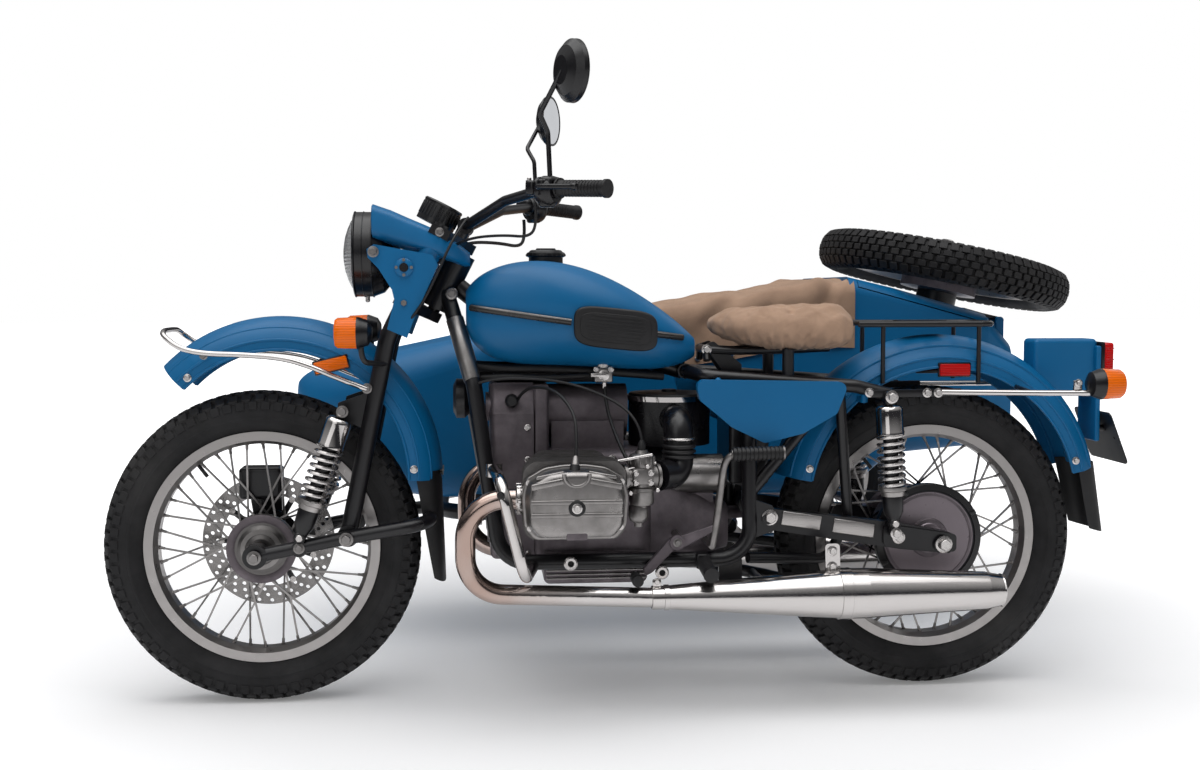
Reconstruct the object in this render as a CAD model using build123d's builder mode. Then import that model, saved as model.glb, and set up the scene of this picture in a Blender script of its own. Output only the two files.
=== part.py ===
"""Sidecar motorcycle: a boxer-engined motorcycle with a leading-link fork, and a sidecar on its right.

Every size is in millimetres. The pieces are drawn in the motorcycle's own axes: X points forward from the
rear axle, Y points left from the motorcycle's middle plane, and Z points up from the floor. At the end all of
them are moved together, so that the origin is on the floor in the middle of the whole vehicle.
"""

import os
from math import atan2, cos, degrees, hypot, radians, sin

from build123d import *

# Wheels, all four alike in size
WHEELBASE = 1495.0
TYRE_RADIUS = 345.0
TYRE_WIDTH = 104.0
RIM_RADIUS = 256.0
RIM_WIDTH = 64.0
RIM_BASE_RADIUS = 240.0
RIM_DEPTH = 12.0
FLANGE_THICKNESS = 3.5
BEAD_CLEARANCE = 0.3
SPOKES_A_SIDE = 20
SPOKE_SIZE = 4.0
SPOKE_LEAN = 38.0
SPOKE_STAGGER = 5.0
AXLE_RADIUS = 10.0
RUNNING_CLEARANCE = 0.06
HUB_HALF_LENGTH = 62.0
HUB_GAP = 5.0
SPACER_RADIUS = 17.0
FRONT_FLANGE_RADIUS = 75.0
FRONT_BARREL_RADIUS = 48.0
DRUM_RADIUS = 104.0
DRUM_COVER_RADIUS = 123.0
DISC_RADIUS = 147.0
DISC_INNER_RADIUS = 62.0
DISC_THICKNESS = 5.0
DISC_Y = -HUB_HALF_LENGTH - DISC_THICKNESS / 2 - 0.3

# Steering head and leading-link fork
RAKE = 27.0
HEAD_X = 1085.0
HEAD_Z = 930.0
HEAD_LENGTH = 135.0
HEAD_RADIUS = 32.0
STEM_RADIUS = 14.0
YOKE_THICKNESS = 22.0
YOKE_GAP = 6.0
LEG_AHEAD = 60.0
LEG_Y = 95.0
LEG_DIAMETER = 38.0
LEG_BEND_X = 1215.0
LEG_BEND_Z = 805.0
PIVOT_X = 1302.0
PIVOT_Z = 381.0
LINK_Y = 132.0
LINK_DIAMETER = 30.0
LINK_LOOP_X = 1128.0
LINK_LOOP_Z = 409.0
FRONT_SHOCK_TOP = (1307.0, 653.0)
FRONT_SHOCK_LOW = (1402.0, 380.0)
FRONT_FENDER_X = 1451.0
FRONT_FENDER_Z = 503.0
FRONT_FENDER_RADIUS = 350.0
FENDER_HALF_WIDTH = 70.0
FENDER_CROWN = 46.0
FENDER_SKIRT = 26.0
SHEET = 3.0
BAR_TIP_X = 1712.0
BAR_TIP_Z = 812.0

# Headlamp and its hood, instrument, handlebar
LAMP_Z = 988.0
LAMP_RADIUS = 93.0
LAMP_FRONT_X = 1290.0
LAMP_RIM_DEPTH = 42.0
LAMP_BACK_X = 1190.0
LENS_BULGE = 23.0
SPEEDO_RADIUS = 44.0
SPEEDO_HEIGHT = 47.0
BAR_DIAMETER = 22.0
BAR_CENTRE = (1045.0, 60.0, 1048.0)
BAR_RISE = (962.0, 175.0, 1095.0)
BAR_BEND = (880.0, 305.0, 1112.0)
BAR_END = (770.0, 400.0, 1105.0)
GRIP_LENGTH = 122.0
GRIP_RADIUS = 16.5
MIRROR_RADIUS = 61.0
MIRROR_DEPTH = 30.0
MIRROR_CENTRE = (846.0, 400.0, 1331.0)
MIRROR_TOE = 24.0

# Frame, tank and seat
TUBE_DIAMETER = 34.0
RAIL_Y = 140.0
RAIL_Z = 322.0
SEAT_RAIL_Y = 112.0
SEAT_RAIL_Z = 706.0
LOOP_Y = 80.0
REAR_PIVOT_X = 393.0
REAR_PIVOT_Z = 409.0
PIVOT_TUBE_RADIUS = 22.0
KNEE_PAD_THICKNESS = 14.0

# Engine
CRANK_X = 800.0
CYLINDER_Z = 482.0
LEFT_CYLINDER_X = 828.0
CYLINDER_STAGGER = 36.0
CASE_HALF_WIDTH = 108.0
BARREL_RADIUS = 56.0
FIN_SIZE = 176.0
FIN_THICKNESS = 4.5
FIN_PITCH = 15.0
FIN_COUNT = 8
HEAD_START_Y = 240.0
HEAD_END_Y = 326.0
COVER_DEPTH = 66.0
COVER_WIDTH = 216.0
COVER_HEIGHT = 152.0

# Exhaust
PIPE_DIAMETER = 42.0
PIPE_FRONT_X = 1050.0
MUFFLER_Y = 205.0
RIGHT_MUFFLER_Y = 258.0
MUFFLER_Z = 248.0
MUFFLER_START_X = 650.0
MUFFLER_WIDE_X = 240.0
MUFFLER_END_X = -112.0
MUFFLER_RADIUS = 54.0
MUFFLER_TAIL_RADIUS = 41.0

# Rear end of the motorcycle
ARM_Y = 118.0
ARM_THICKNESS = 26.0
REAR_FENDER_X = -27.0
REAR_FENDER_Z = 426.0
REAR_FENDER_RADIUS = 381.0
REAR_SHOCK_TOP = (126.0, 660.0)
REAR_SHOCK_LOW = (112.0, 398.0)
REAR_SHOCK_Y = 152.0
STAY_DIAMETER = 14.0

# Sidecar
TRACK = 1130.0
SIDECAR_LEAD = 60.0
TUB_Y = -680.0
TUB_WALL = 14.0
COCKPIT_REAR_X = 60.0
COCKPIT_FRONT_X = 860.0
COCKPIT_RIM_Z = 762.0
BULKHEAD = 14.0
LID_GAP = 3.0
COVER_CLOTH = 4.0
COVER_CLEARANCE = 0.4
CHASSIS_Z = 338.0
CHASSIS_TUBE = 40.0
CHASSIS_INNER_Y = -455.0
CHASSIS_OUTER_Y = -895.0
SPARE_CENTRE = (-276.0, TUB_Y, 964.0)
SPARE_TILT = 12.0

STEER = Vector(-sin(radians(RAKE)), 0, cos(radians(RAKE)))
AHEAD = Vector(cos(radians(RAKE)), 0, sin(radians(RAKE)))
pieces = {}


def on_steering(along, ahead, y=0.0):
    """A point measured from the steering head: up its axis, then squarely ahead of it."""
    return Vector(HEAD_X, y, HEAD_Z) + STEER * along + AHEAD * ahead


def steering_plane(along, ahead=0.0, y=0.0):
    """A plane square to the steering axis, with its local X pointing ahead."""
    return Plane(origin=on_steering(along, ahead, y), x_dir=AHEAD, z_dir=STEER)


def rod(start, end, diameter):
    """A straight round bar."""
    start, end = Vector(start), Vector(end)
    with BuildPart() as bar:
        with BuildSketch(Plane(origin=start, z_dir=end - start)):
            Circle(diameter / 2)
        extrude(amount=(end - start).length)
    return bar.part


def bent_tube(points, diameter, bend):
    """A round bar along straight runs joined by arcs of one radius."""
    with BuildPart() as bar:
        with BuildLine() as route:
            FilletPolyline(*points, radius=bend)
        with BuildSketch(Plane(origin=route.line @ 0, z_dir=route.line % 0)):
            Circle(diameter / 2)
        sweep(path=route.line)
    return bar.part


def turned(start, end, profile):
    """A turned piece between two points. The profile's columns are the share of the length and the radius."""
    start, end = Vector(start), Vector(end)
    length = (end - start).length
    plane = Plane(origin=start, x_dir=(end - start).cross(Vector(0, 1, 0.01)), z_dir=end - start)
    section = Plane(origin=start, x_dir=plane.x_dir, z_dir=plane.x_dir.cross(plane.z_dir))
    with BuildPart() as piece:
        with BuildSketch(section):
            with BuildLine():
                outline = [(radius, share * length) for share, radius in profile]
                Polyline((0, profile[0][0] * length), *outline, (0, profile[-1][0] * length), close=True)
            make_face()
        revolve(axis=Axis(start, end - start))
    return piece.part


def plate(outline, y_low, y_high, corner=0.0):
    """A flat plate from y_low to y_high, with its outline in X and Z."""
    with BuildPart() as sheet:
        with BuildSketch(Plane.XZ.offset(-y_high)) as face:
            with BuildLine():
                Polyline(*outline, close=True)
            make_face()
            if corner:
                fillet(face.vertices(), corner)
        extrude(amount=y_high - y_low)
    return sheet.part


def both_sides(piece):
    """A left-hand piece and its mirror image on the right."""
    return [piece, piece.mirror(Plane.XZ)]


def block(x_range, y_range, z_range, edge=0.0):
    """A rectangular block with its upright and level edges rounded."""
    size = [high - low for low, high in (x_range, y_range, z_range)]
    middle = [(high + low) / 2 for low, high in (x_range, y_range, z_range)]
    with BuildPart() as solid:
        with Locations(tuple(middle)):
            Box(*size)
        if edge:
            fillet(solid.edges(), edge)
    return solid.part


def keep(name, solid):
    """Labels a finished piece."""
    solid.label = name
    pieces[name] = solid


# Wheels: tyre, rim with hub and spokes
with BuildPart() as tyre:
    with BuildSketch(Plane.YZ):
        with BuildLine():
            bead = RIM_WIDTH / 2 - FLANGE_THICKNESS - BEAD_CLEARANCE
            seat = RIM_BASE_RADIUS + BEAD_CLEARANCE
            lip = RIM_RADIUS + BEAD_CLEARANCE
            shoulder = TYRE_RADIUS - 20
            Line((-bead, seat), (bead, seat))
            Line((bead, seat), (bead, lip))
            ThreePointArc((bead, lip), (TYRE_WIDTH / 2, 302), (TYRE_WIDTH / 2 - 6, shoulder))
            ThreePointArc((TYRE_WIDTH / 2 - 6, shoulder), (0, TYRE_RADIUS), (6 - TYRE_WIDTH / 2, shoulder))
            ThreePointArc((6 - TYRE_WIDTH / 2, shoulder), (-TYRE_WIDTH / 2, 302), (-bead, lip))
            Line((-bead, lip), (-bead, seat))
        make_face()
    revolve(axis=Axis.Y)

with BuildPart() as rim:
    with BuildSketch(Plane.YZ):
        with BuildLine():
            half = RIM_WIDTH / 2
            under = RIM_BASE_RADIUS - RIM_DEPTH
            Polyline(
                (-half, RIM_RADIUS), (-half, RIM_BASE_RADIUS - 4), (-half / 2, under), (half / 2, under),
                (half, RIM_BASE_RADIUS - 4), (half, RIM_RADIUS), (half - FLANGE_THICKNESS, RIM_RADIUS),
                (half - FLANGE_THICKNESS, RIM_BASE_RADIUS), (FLANGE_THICKNESS - half, RIM_BASE_RADIUS),
                (FLANGE_THICKNESS - half, RIM_RADIUS), close=True,
            )
        make_face()
    revolve(axis=Axis.Y)


def spokes(flange_radius, flange_y):
    """Crossed wire spokes from both hub flanges to the rim, as one list of straight bars."""
    bars = []
    step = 360 / SPOKES_A_SIDE
    for side in (1, -1):
        for count in range(SPOKES_A_SIDE):
            outside = 1 if count % 2 else -1
            rim_angle = radians(count * step + (step / 2 if side < 0 else 0))
            hub_angle = rim_angle + radians(SPOKE_LEAN) * outside
            reach = RIM_BASE_RADIUS - RIM_DEPTH + 3
            hub_y = side * (flange_y + SPOKE_STAGGER * outside)
            start = Vector(flange_radius * cos(hub_angle), hub_y, flange_radius * sin(hub_angle))
            end = Vector(reach * cos(rim_angle), side * SPOKE_STAGGER, reach * sin(rim_angle))
            with BuildPart() as bar:
                with BuildSketch(Plane(origin=start, z_dir=end - start)):
                    Rectangle(SPOKE_SIZE, SPOKE_SIZE)
                extrude(amount=(end - start).length)
            bars.append(bar.part)
    return bars


def wire_wheel(hub_outline, flange_radius, flange_y):
    """Rim, spokes and a turned hub in one piece. The hub outline's columns are Y and radius."""
    bars = spokes(flange_radius, flange_y)
    with BuildPart() as wheel:
        with BuildSketch(Plane.YZ):
            bore = AXLE_RADIUS + RUNNING_CLEARANCE
            with BuildLine():
                Polyline((hub_outline[0][0], bore), *hub_outline, (hub_outline[-1][0], bore), close=True)
            make_face()
        revolve(axis=Axis.Y)
        add([rim.part, *bars])
    return wheel.part


FRONT_HUB = (
    (-HUB_HALF_LENGTH, 24), (-56, 40), (-56, 58), (-42, 58), (-42, FRONT_BARREL_RADIUS), (28, FRONT_BARREL_RADIUS),
    (28, FRONT_FLANGE_RADIUS), (50, FRONT_FLANGE_RADIUS), (50, 52), (56, 40), (HUB_HALF_LENGTH, 24),
)
DRUM_HUB = (
    (-HUB_HALF_LENGTH, 40), (-58, DRUM_RADIUS), (30, DRUM_RADIUS), (34, DRUM_COVER_RADIUS),
    (50, DRUM_COVER_RADIUS), (54, 108), (54, 40), (HUB_HALF_LENGTH, 32),
)
front_wheel = wire_wheel(FRONT_HUB, 54, 33)
drum_wheel = wire_wheel(DRUM_HUB, 102, 22)

with BuildPart() as front_disc:
    with BuildSketch(Plane.XZ.offset(-DISC_Y - DISC_THICKNESS / 2)):
        Circle(DISC_RADIUS)
        Circle(DISC_INNER_RADIUS - 40, mode=Mode.SUBTRACT)
    extrude(amount=DISC_THICKNESS)

front_place = Location((WHEELBASE, 0, TYRE_RADIUS))
rear_place = Location((0, 0, TYRE_RADIUS))
sidecar_place = Location((SIDECAR_LEAD, -TRACK, TYRE_RADIUS))
spare_place = Location(SPARE_CENTRE) * Location((0, 0, 0), (0, -SPARE_TILT, 0)) * Location((0, 0, 0), (90, 0, 0))
for name, place, wheel in (
    ("front", front_place, front_wheel),
    ("rear", rear_place, drum_wheel),
    ("sidecar", sidecar_place, drum_wheel),
    ("spare", spare_place, drum_wheel),
):
    keep(f"{name}_tyre", tyre.part.moved(place))
    keep(f"{name}_wheel", wheel.moved(place))
keep("front_disc", front_disc.part.moved(front_place))

# Fork: stem, yokes, legs with pivot lugs and shock brackets
yoke_low = -HEAD_LENGTH / 2 - YOKE_GAP
yoke_high = HEAD_LENGTH / 2 + YOKE_GAP
leg_top = on_steering(yoke_high + YOKE_THICKNESS + 6, LEG_AHEAD, LEG_Y)
leg = bent_tube(
    [leg_top, (LEG_BEND_X, LEG_Y, LEG_BEND_Z), (PIVOT_X, LEG_Y, PIVOT_Z)], LEG_DIAMETER, 160,
)
leg_lug = rod((PIVOT_X, LEG_Y - 20, PIVOT_Z), (PIVOT_X, LINK_Y - LINK_DIAMETER / 2, PIVOT_Z), 46)
shock_bracket = plate(
    [(1225, 700), (1245, 600), (1325, 640), (1320, 668)], LEG_Y - 6, LEG_Y + 6,
)
shock_pin = rod((FRONT_SHOCK_TOP[0], LEG_Y - 8, FRONT_SHOCK_TOP[1]), (FRONT_SHOCK_TOP[0], 138, FRONT_SHOCK_TOP[1]), 14)
with BuildPart() as fork:
    for level in (yoke_low - YOKE_THICKNESS, yoke_high):
        with BuildSketch(steering_plane(level)):
            with BuildLine():
                Polyline(
                    (-22, -16), (-22, 16), (0, 34), (LEG_AHEAD - 22, LEG_Y + 26), (LEG_AHEAD + 22, LEG_Y + 26),
                    (LEG_AHEAD + 22, LEG_Y - 24), (38, 30), (38, -30), (LEG_AHEAD + 22, 24 - LEG_Y),
                    (LEG_AHEAD + 22, -LEG_Y - 26), (LEG_AHEAD - 22, -LEG_Y - 26), (0, -34), close=True,
                )
            make_face()
        extrude(amount=YOKE_THICKNESS)
    with BuildSketch(steering_plane(yoke_low - 4)):
        Circle(STEM_RADIUS)
    extrude(amount=yoke_high - yoke_low + 8)
    for solid in (leg, leg_lug, shock_bracket, shock_pin):
        add(both_sides(solid))
keep("fork", fork.part)

# Leading link with the front axle, and the brake caliper on its right arm
link = bent_tube(
    [
        (WHEELBASE - 4, LINK_Y, TYRE_RADIUS), (PIVOT_X, LINK_Y, PIVOT_Z), (LINK_LOOP_X, LINK_Y, LINK_LOOP_Z),
        (LINK_LOOP_X, -LINK_Y, LINK_LOOP_Z), (PIVOT_X, -LINK_Y, PIVOT_Z), (WHEELBASE - 4, -LINK_Y, TYRE_RADIUS),
    ], LINK_DIAMETER, 60,
)
axle_boss = rod((WHEELBASE, LINK_Y - 14, TYRE_RADIUS), (WHEELBASE, LINK_Y + 14, TYRE_RADIUS), 52)
axle_spacer = rod(
    (WHEELBASE, HUB_HALF_LENGTH + HUB_GAP, TYRE_RADIUS), (WHEELBASE, LINK_Y, TYRE_RADIUS), 2 * SPACER_RADIUS,
)
shock_foot = rod((FRONT_SHOCK_LOW[0], LINK_Y - 14, 360), (FRONT_SHOCK_LOW[0], LINK_Y + 14, 360), 34)
link_nut = rod((PIVOT_X, LINK_Y, PIVOT_Z), (PIVOT_X, LINK_Y + 24, PIVOT_Z), 30)
with BuildPart() as front_link:
    add(link)
    for solid in (axle_boss, axle_spacer, shock_foot, link_nut):
        add(both_sides(solid))
    add(rod((WHEELBASE, -LINK_Y - 24, TYRE_RADIUS), (WHEELBASE, LINK_Y + 24, TYRE_RADIUS), 2 * AXLE_RADIUS))

caliper_body = block((1462, 1556), (DISC_Y - 34, DISC_Y + 30), (TYRE_RADIUS + 96, TYRE_RADIUS + 168), 10)
caliper_arm = plate(
    [(WHEELBASE - 27, 318), (WHEELBASE + 27, 318), (1545, 470), (1470, 470)], 20 - LINK_Y, 34 - LINK_Y,
)
with BuildPart() as front_caliper:
    add(caliper_body)
    add(caliper_arm)
    with Locations((WHEELBASE, DISC_Y, TYRE_RADIUS)):
        Cylinder(DISC_RADIUS + 6, DISC_THICKNESS + 4, rotation=(90, 0, 0), mode=Mode.SUBTRACT)
    with Locations((WHEELBASE, DISC_Y, TYRE_RADIUS)):
        Cylinder(SPACER_RADIUS + 0.4, 200, rotation=(90, 0, 0), mode=Mode.SUBTRACT)

with BuildPart() as link_set:
    add([front_link.part, front_caliper.part])
keep("front_link", link_set.part)

# Shock absorbers: eye, chrome shroud, coil spring and lower body
COILS = 7
SPRING_RADIUS = 31.0
SHROUD_RADIUS = 32.0
spring_profile = [(0.42, 24.0)]
for coil in range(COILS):
    spring_profile.append((0.42 + 0.44 * (coil + 0.5) / COILS, SPRING_RADIUS))
    spring_profile.append((0.42 + 0.44 * (coil + 1) / COILS, 24.0))
SHOCK_PROFILE = [
    (0.0, 12.0), (0.06, 12.0), (0.06, SHROUD_RADIUS - 4), (0.10, SHROUD_RADIUS), (0.42, SHROUD_RADIUS),
    *spring_profile, (0.86, 29.0), (0.93, 29.0), (0.93, 13.0), (1.0, 13.0),
]


def shock(top, low):
    """A coil-over shock absorber with its profile from the top eye to the lower eye."""
    return turned(top, low, SHOCK_PROFILE)


front_shock_y = LINK_Y + 4
with BuildPart() as front_shocks:
    start = Vector(FRONT_SHOCK_TOP[0], front_shock_y, FRONT_SHOCK_TOP[1])
    end = Vector(FRONT_SHOCK_LOW[0], front_shock_y, FRONT_SHOCK_LOW[1])
    lean = (end - start).normalized()
    strut = shock(start + lean * 7.5, end - lean * 2.5)
    add(both_sides(strut))
    add([front_link.part, fork.part], mode=Mode.SUBTRACT)
keep("front_shocks", front_shocks.part)


# Fenders: a thin crowned section turned about the wheel, with rolled edges
def fender(centre_x, centre_z, radius, half_width, front_angle, rear_angle):
    """A fender from front_angle ahead of the top to rear_angle behind it."""
    edge = radius - FENDER_CROWN
    low = edge - FENDER_SKIRT
    with BuildPart() as arch:
        with BuildSketch(Plane.YZ):
            with BuildLine():
                ThreePointArc((-half_width, edge), (0, radius), (half_width, edge))
                Polyline((half_width, edge), (half_width, low), (half_width - SHEET, low), (half_width - SHEET, edge))
                ThreePointArc((half_width - SHEET, edge), (0, radius - SHEET), (SHEET - half_width, edge))
                Polyline(
                    (SHEET - half_width, edge), (SHEET - half_width, low), (-half_width, low), (-half_width, edge),
                )
            make_face()
        revolve(axis=Axis.Y, revolution_arc=front_angle + rear_angle)
    turn = Location((centre_x, 0, centre_z)) * Location((0, 0, 0), (0, -rear_angle, 0))
    return arch.part.moved(turn)


FLAP_HALF_WIDTH = 62.0
FLAP_THICKNESS = 5.0
front_arch = fender(FRONT_FENDER_X, FRONT_FENDER_Z, FRONT_FENDER_RADIUS, FENDER_HALF_WIDTH, 46, 92)
with BuildPart() as front_fender:
    add(front_arch)
    add(both_sides(rod((1236, LEG_Y - LEG_DIAMETER / 2 + 0.6, 706), (1236, FENDER_HALF_WIDTH - 2, 706), 16)))
    add(fork.part, mode=Mode.SUBTRACT)
keep("front_fender", front_fender.part)

flap_top_x = FRONT_FENDER_X - FRONT_FENDER_RADIUS - 0.3
with BuildPart() as front_flap:
    with BuildSketch(Plane.XZ.offset(-FLAP_HALF_WIDTH)):
        with BuildLine():
            Polyline(
                (flap_top_x - FLAP_THICKNESS, 520), (flap_top_x, 520), (flap_top_x - 8, 266),
                (flap_top_x - 8 - FLAP_THICKNESS, 266), close=True,
            )
        make_face()
    extrude(amount=2 * FLAP_HALF_WIDTH)
keep("front_flap", front_flap.part)

fender_bar = bent_tube(
    [
        (1258, LEG_Y + 8, 698), (1655, LEG_Y + 2, 783), (BAR_TIP_X, 74, BAR_TIP_Z), (BAR_TIP_X, -74, BAR_TIP_Z),
        (1655, -LEG_Y - 2, 783), (1258, -LEG_Y - 8, 698),
    ], 12, 24,
)
bar_post = rod((1600, LEG_Y + 3, 771), (1600, FENDER_HALF_WIDTH + 0.5, 771), 9)
with BuildPart() as front_bar:
    add(fender_bar)
    add(both_sides(bar_post))
keep("fender_bar", front_bar.part)

# Headlamp with its lens, hood and fork covers
with BuildPart() as headlamp:
    with BuildSketch(Plane.XZ):
        with BuildLine():
            Polyline(
                (LAMP_FRONT_X, LAMP_Z + LAMP_RADIUS - 12), (LAMP_FRONT_X, LAMP_Z + LAMP_RADIUS - 4),
                (LAMP_FRONT_X - 6, LAMP_Z + LAMP_RADIUS), (LAMP_FRONT_X - LAMP_RIM_DEPTH, LAMP_Z + LAMP_RADIUS),
            )
            Polyline(
                (LAMP_FRONT_X - LAMP_RIM_DEPTH, LAMP_Z + LAMP_RADIUS), (LAMP_BACK_X + 34, LAMP_Z + 84),
                (LAMP_BACK_X + 12, LAMP_Z + 58), (LAMP_BACK_X, LAMP_Z + 24), (LAMP_BACK_X, LAMP_Z),
                (LAMP_FRONT_X - 8, LAMP_Z), (LAMP_FRONT_X - 8, LAMP_Z + LAMP_RADIUS - 12),
                (LAMP_FRONT_X, LAMP_Z + LAMP_RADIUS - 12),
            )
        make_face()
    revolve(axis=Axis((0, 0, LAMP_Z), (1, 0, 0)))
keep("headlamp", headlamp.part)

with BuildPart() as lens:
    with BuildSketch(Plane.XZ):
        with BuildLine():
            back = LAMP_FRONT_X - 7.7
            edge = LAMP_RADIUS - 12.4
            Line((back, LAMP_Z), (back, LAMP_Z + edge))
            Line((back, LAMP_Z + edge), (LAMP_FRONT_X - 1, LAMP_Z + edge))
            Polyline(
                (LAMP_FRONT_X - 1, LAMP_Z + edge), (LAMP_FRONT_X + LENS_BULGE * 0.55, LAMP_Z + edge * 0.7),
                (LAMP_FRONT_X + LENS_BULGE * 0.88, LAMP_Z + edge * 0.35), (LAMP_FRONT_X + LENS_BULGE, LAMP_Z + 8),
                (LAMP_FRONT_X + LENS_BULGE, LAMP_Z), (back, LAMP_Z),
            )
        make_face()
    revolve(axis=Axis((0, 0, LAMP_Z), (1, 0, 0)))
keep("headlamp_lens", lens.part)

SHROUD_CLEARANCE = 0.6
EAR_OUT = 26.6
EAR_SHEET = 4.0
SPEEDO_AHEAD = 82.0
speedo_base = on_steering(yoke_high + YOKE_THICKNESS + 0.4, SPEEDO_AHEAD)
with BuildPart() as fork_cover:
    with BuildSketch(steering_plane(yoke_low + 4, LEG_AHEAD, LEG_Y)):
        Circle(LEG_DIAMETER / 2 + SHROUD_CLEARANCE + 4)
        Circle(LEG_DIAMETER / 2 + SHROUD_CLEARANCE, mode=Mode.SUBTRACT)
    extrude(amount=yoke_high - yoke_low - 8)
ear = plate(
    [
        (1239, 1006), (1116, 984), (1104, 962), (1150, 862), (1171, 807), (1213, 826), (1197, 888), (1202, 910),
        (1230, 955), (1252, 978), (1254, 996),
    ], LEG_Y + EAR_OUT, LEG_Y + EAR_OUT + EAR_SHEET,
)
ear_boss = rod((1240, LAMP_RADIUS - 6, 990), (1240, LEG_Y + EAR_OUT + EAR_SHEET + 6, 990), 18)
cover_bore = rod(on_steering(yoke_low, LEG_AHEAD, LEG_Y), leg_top, LEG_DIAMETER + 2 * SHROUD_CLEARANCE)
with BuildPart() as lamp_hood:
    for x, width, low, high in ((1246, 196, 1020, 1092), (1170, 180, 996, 1060), (1100, 156, 984, 1026)):
        with BuildSketch(Plane.YZ.offset(x)):
            with Locations((0, (low + high) / 2)):
                RectangleRounded(width, high - low, min((high - low) / 2 - 0.5, 34))
    loft(ruled=True)
    with Locations((LAMP_FRONT_X - 70, 0, LAMP_Z)):
        Cylinder(LAMP_RADIUS + 0.3, 160, rotation=(0, 90, 0), mode=Mode.SUBTRACT)
    with BuildSketch(Plane(origin=speedo_base - STEER * 60, x_dir=(0, 1, 0), z_dir=STEER)):
        Circle(SPEEDO_RADIUS + 1)
    extrude(amount=SPEEDO_HEIGHT + 90, mode=Mode.SUBTRACT)
    with BuildSketch(steering_plane(yoke_high - 1)):
        Rectangle(190, 300)
    extrude(amount=YOKE_THICKNESS + 2, mode=Mode.SUBTRACT)
    add([*both_sides(fork_cover.part), *both_sides(cover_bore), *both_sides(ear)], mode=Mode.SUBTRACT)
hood_top = lamp_hood.part.solids().sort_by(SortBy.VOLUME)[-1]
with BuildPart() as fork_covers:
    for solid in (fork_cover.part, ear):
        add(both_sides(solid))
    add(both_sides(cover_bore), mode=Mode.SUBTRACT)
    add(both_sides(ear_boss))
    with Locations((LAMP_FRONT_X - 70, 0, LAMP_Z)):
        Cylinder(LAMP_RADIUS + 0.5, 160, rotation=(0, 90, 0), mode=Mode.SUBTRACT)
    add(hood_top)
    add(fork.part, mode=Mode.SUBTRACT)
keep("fork_covers", fork_covers.part)

with BuildPart() as speedometer:
    with BuildSketch(Plane(origin=speedo_base, x_dir=(0, 1, 0), z_dir=STEER)):
        Circle(SPEEDO_RADIUS)
    extrude(amount=SPEEDO_HEIGHT)
keep("speedometer", speedometer.part)

# Handlebar with risers, grips, levers and mirrors
bar_run = [BAR_END, BAR_BEND, BAR_RISE, BAR_CENTRE]
bar_points = bar_run + [(x, -y, z) for x, y, z in reversed(bar_run)]
riser_foot = on_steering(yoke_high + YOKE_THICKNESS + 0.4, 18, 46)
riser = rod(riser_foot, (BAR_CENTRE[0], 46, BAR_CENTRE[2]), 30)
riser_clamp = rod((BAR_CENTRE[0], 30, BAR_CENTRE[2]), (BAR_CENTRE[0], 62, BAR_CENTRE[2]), 36)
with BuildPart() as handlebar:
    add(bent_tube(bar_points, BAR_DIAMETER, 40))
    add(both_sides(riser))
    add(both_sides(riser_clamp))
    add([fork.part, speedometer.part], mode=Mode.SUBTRACT)
keep("handlebar", handlebar.part)

grip_run = (Vector(BAR_BEND) - Vector(BAR_END)).normalized()
GRIP_CLEARANCE = 0.3
with BuildPart() as grip:
    with BuildSketch(Plane(origin=Vector(BAR_END) - grip_run * 5, z_dir=grip_run)):
        Circle(GRIP_RADIUS)
    extrude(amount=GRIP_LENGTH)
    with BuildSketch(Plane(origin=Vector(BAR_END), z_dir=grip_run)):
        Circle(BAR_DIAMETER / 2 + GRIP_CLEARANCE)
    extrude(amount=GRIP_LENGTH, mode=Mode.SUBTRACT)

switch_mid = Vector(BAR_END) + grip_run * (GRIP_LENGTH - 5 + 22)
lever_ahead = Vector(0, 0, 1).cross(grip_run).normalized() * -1
perch = switch_mid + lever_ahead * 18
with BuildPart() as switch:
    with BuildSketch(Plane(origin=switch_mid - grip_run * 20, z_dir=grip_run)):
        Circle(23)
    extrude(amount=38)
    with BuildSketch(Plane(origin=switch_mid - grip_run * 24, z_dir=grip_run)):
        Circle(BAR_DIAMETER / 2 + GRIP_CLEARANCE)
    extrude(amount=60, mode=Mode.SUBTRACT)
lever = bent_tube(
    [perch - lever_ahead * 2, perch + lever_ahead * 40 - grip_run * 6, perch + lever_ahead * 48 - grip_run * 150],
    11, 14,
)
with BuildPart() as controls:
    for solid in (switch.part, lever, grip.part):
        add(both_sides(solid))
    add(handlebar.part, mode=Mode.SUBTRACT)
keep("bar_controls", controls.part)

mirror_mid = Vector(MIRROR_CENTRE)
mirror_face = Vector(-cos(radians(MIRROR_TOE)), -sin(radians(MIRROR_TOE)), 0)
mirror_disc = turned(
    mirror_mid - mirror_face * MIRROR_DEPTH / 2, mirror_mid + mirror_face * MIRROR_DEPTH / 2,
    ((0, 28), (0.3, 48), (0.7, MIRROR_RADIUS), (1, MIRROR_RADIUS)),
)
stem_foot = switch_mid + Vector(0, 0, 23.4)
mirror_stem = bent_tube(
    [
        stem_foot, stem_foot + Vector(4, 2, 88), (896, 330, 1256), mirror_mid - mirror_face * (MIRROR_DEPTH / 2 - 4),
    ], 10, 20,
)
with BuildPart() as mirrors:
    add(both_sides(mirror_disc))
    add(both_sides(mirror_stem))
    add(controls.part, mode=Mode.SUBTRACT)
keep("mirrors", mirrors.part)

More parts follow.
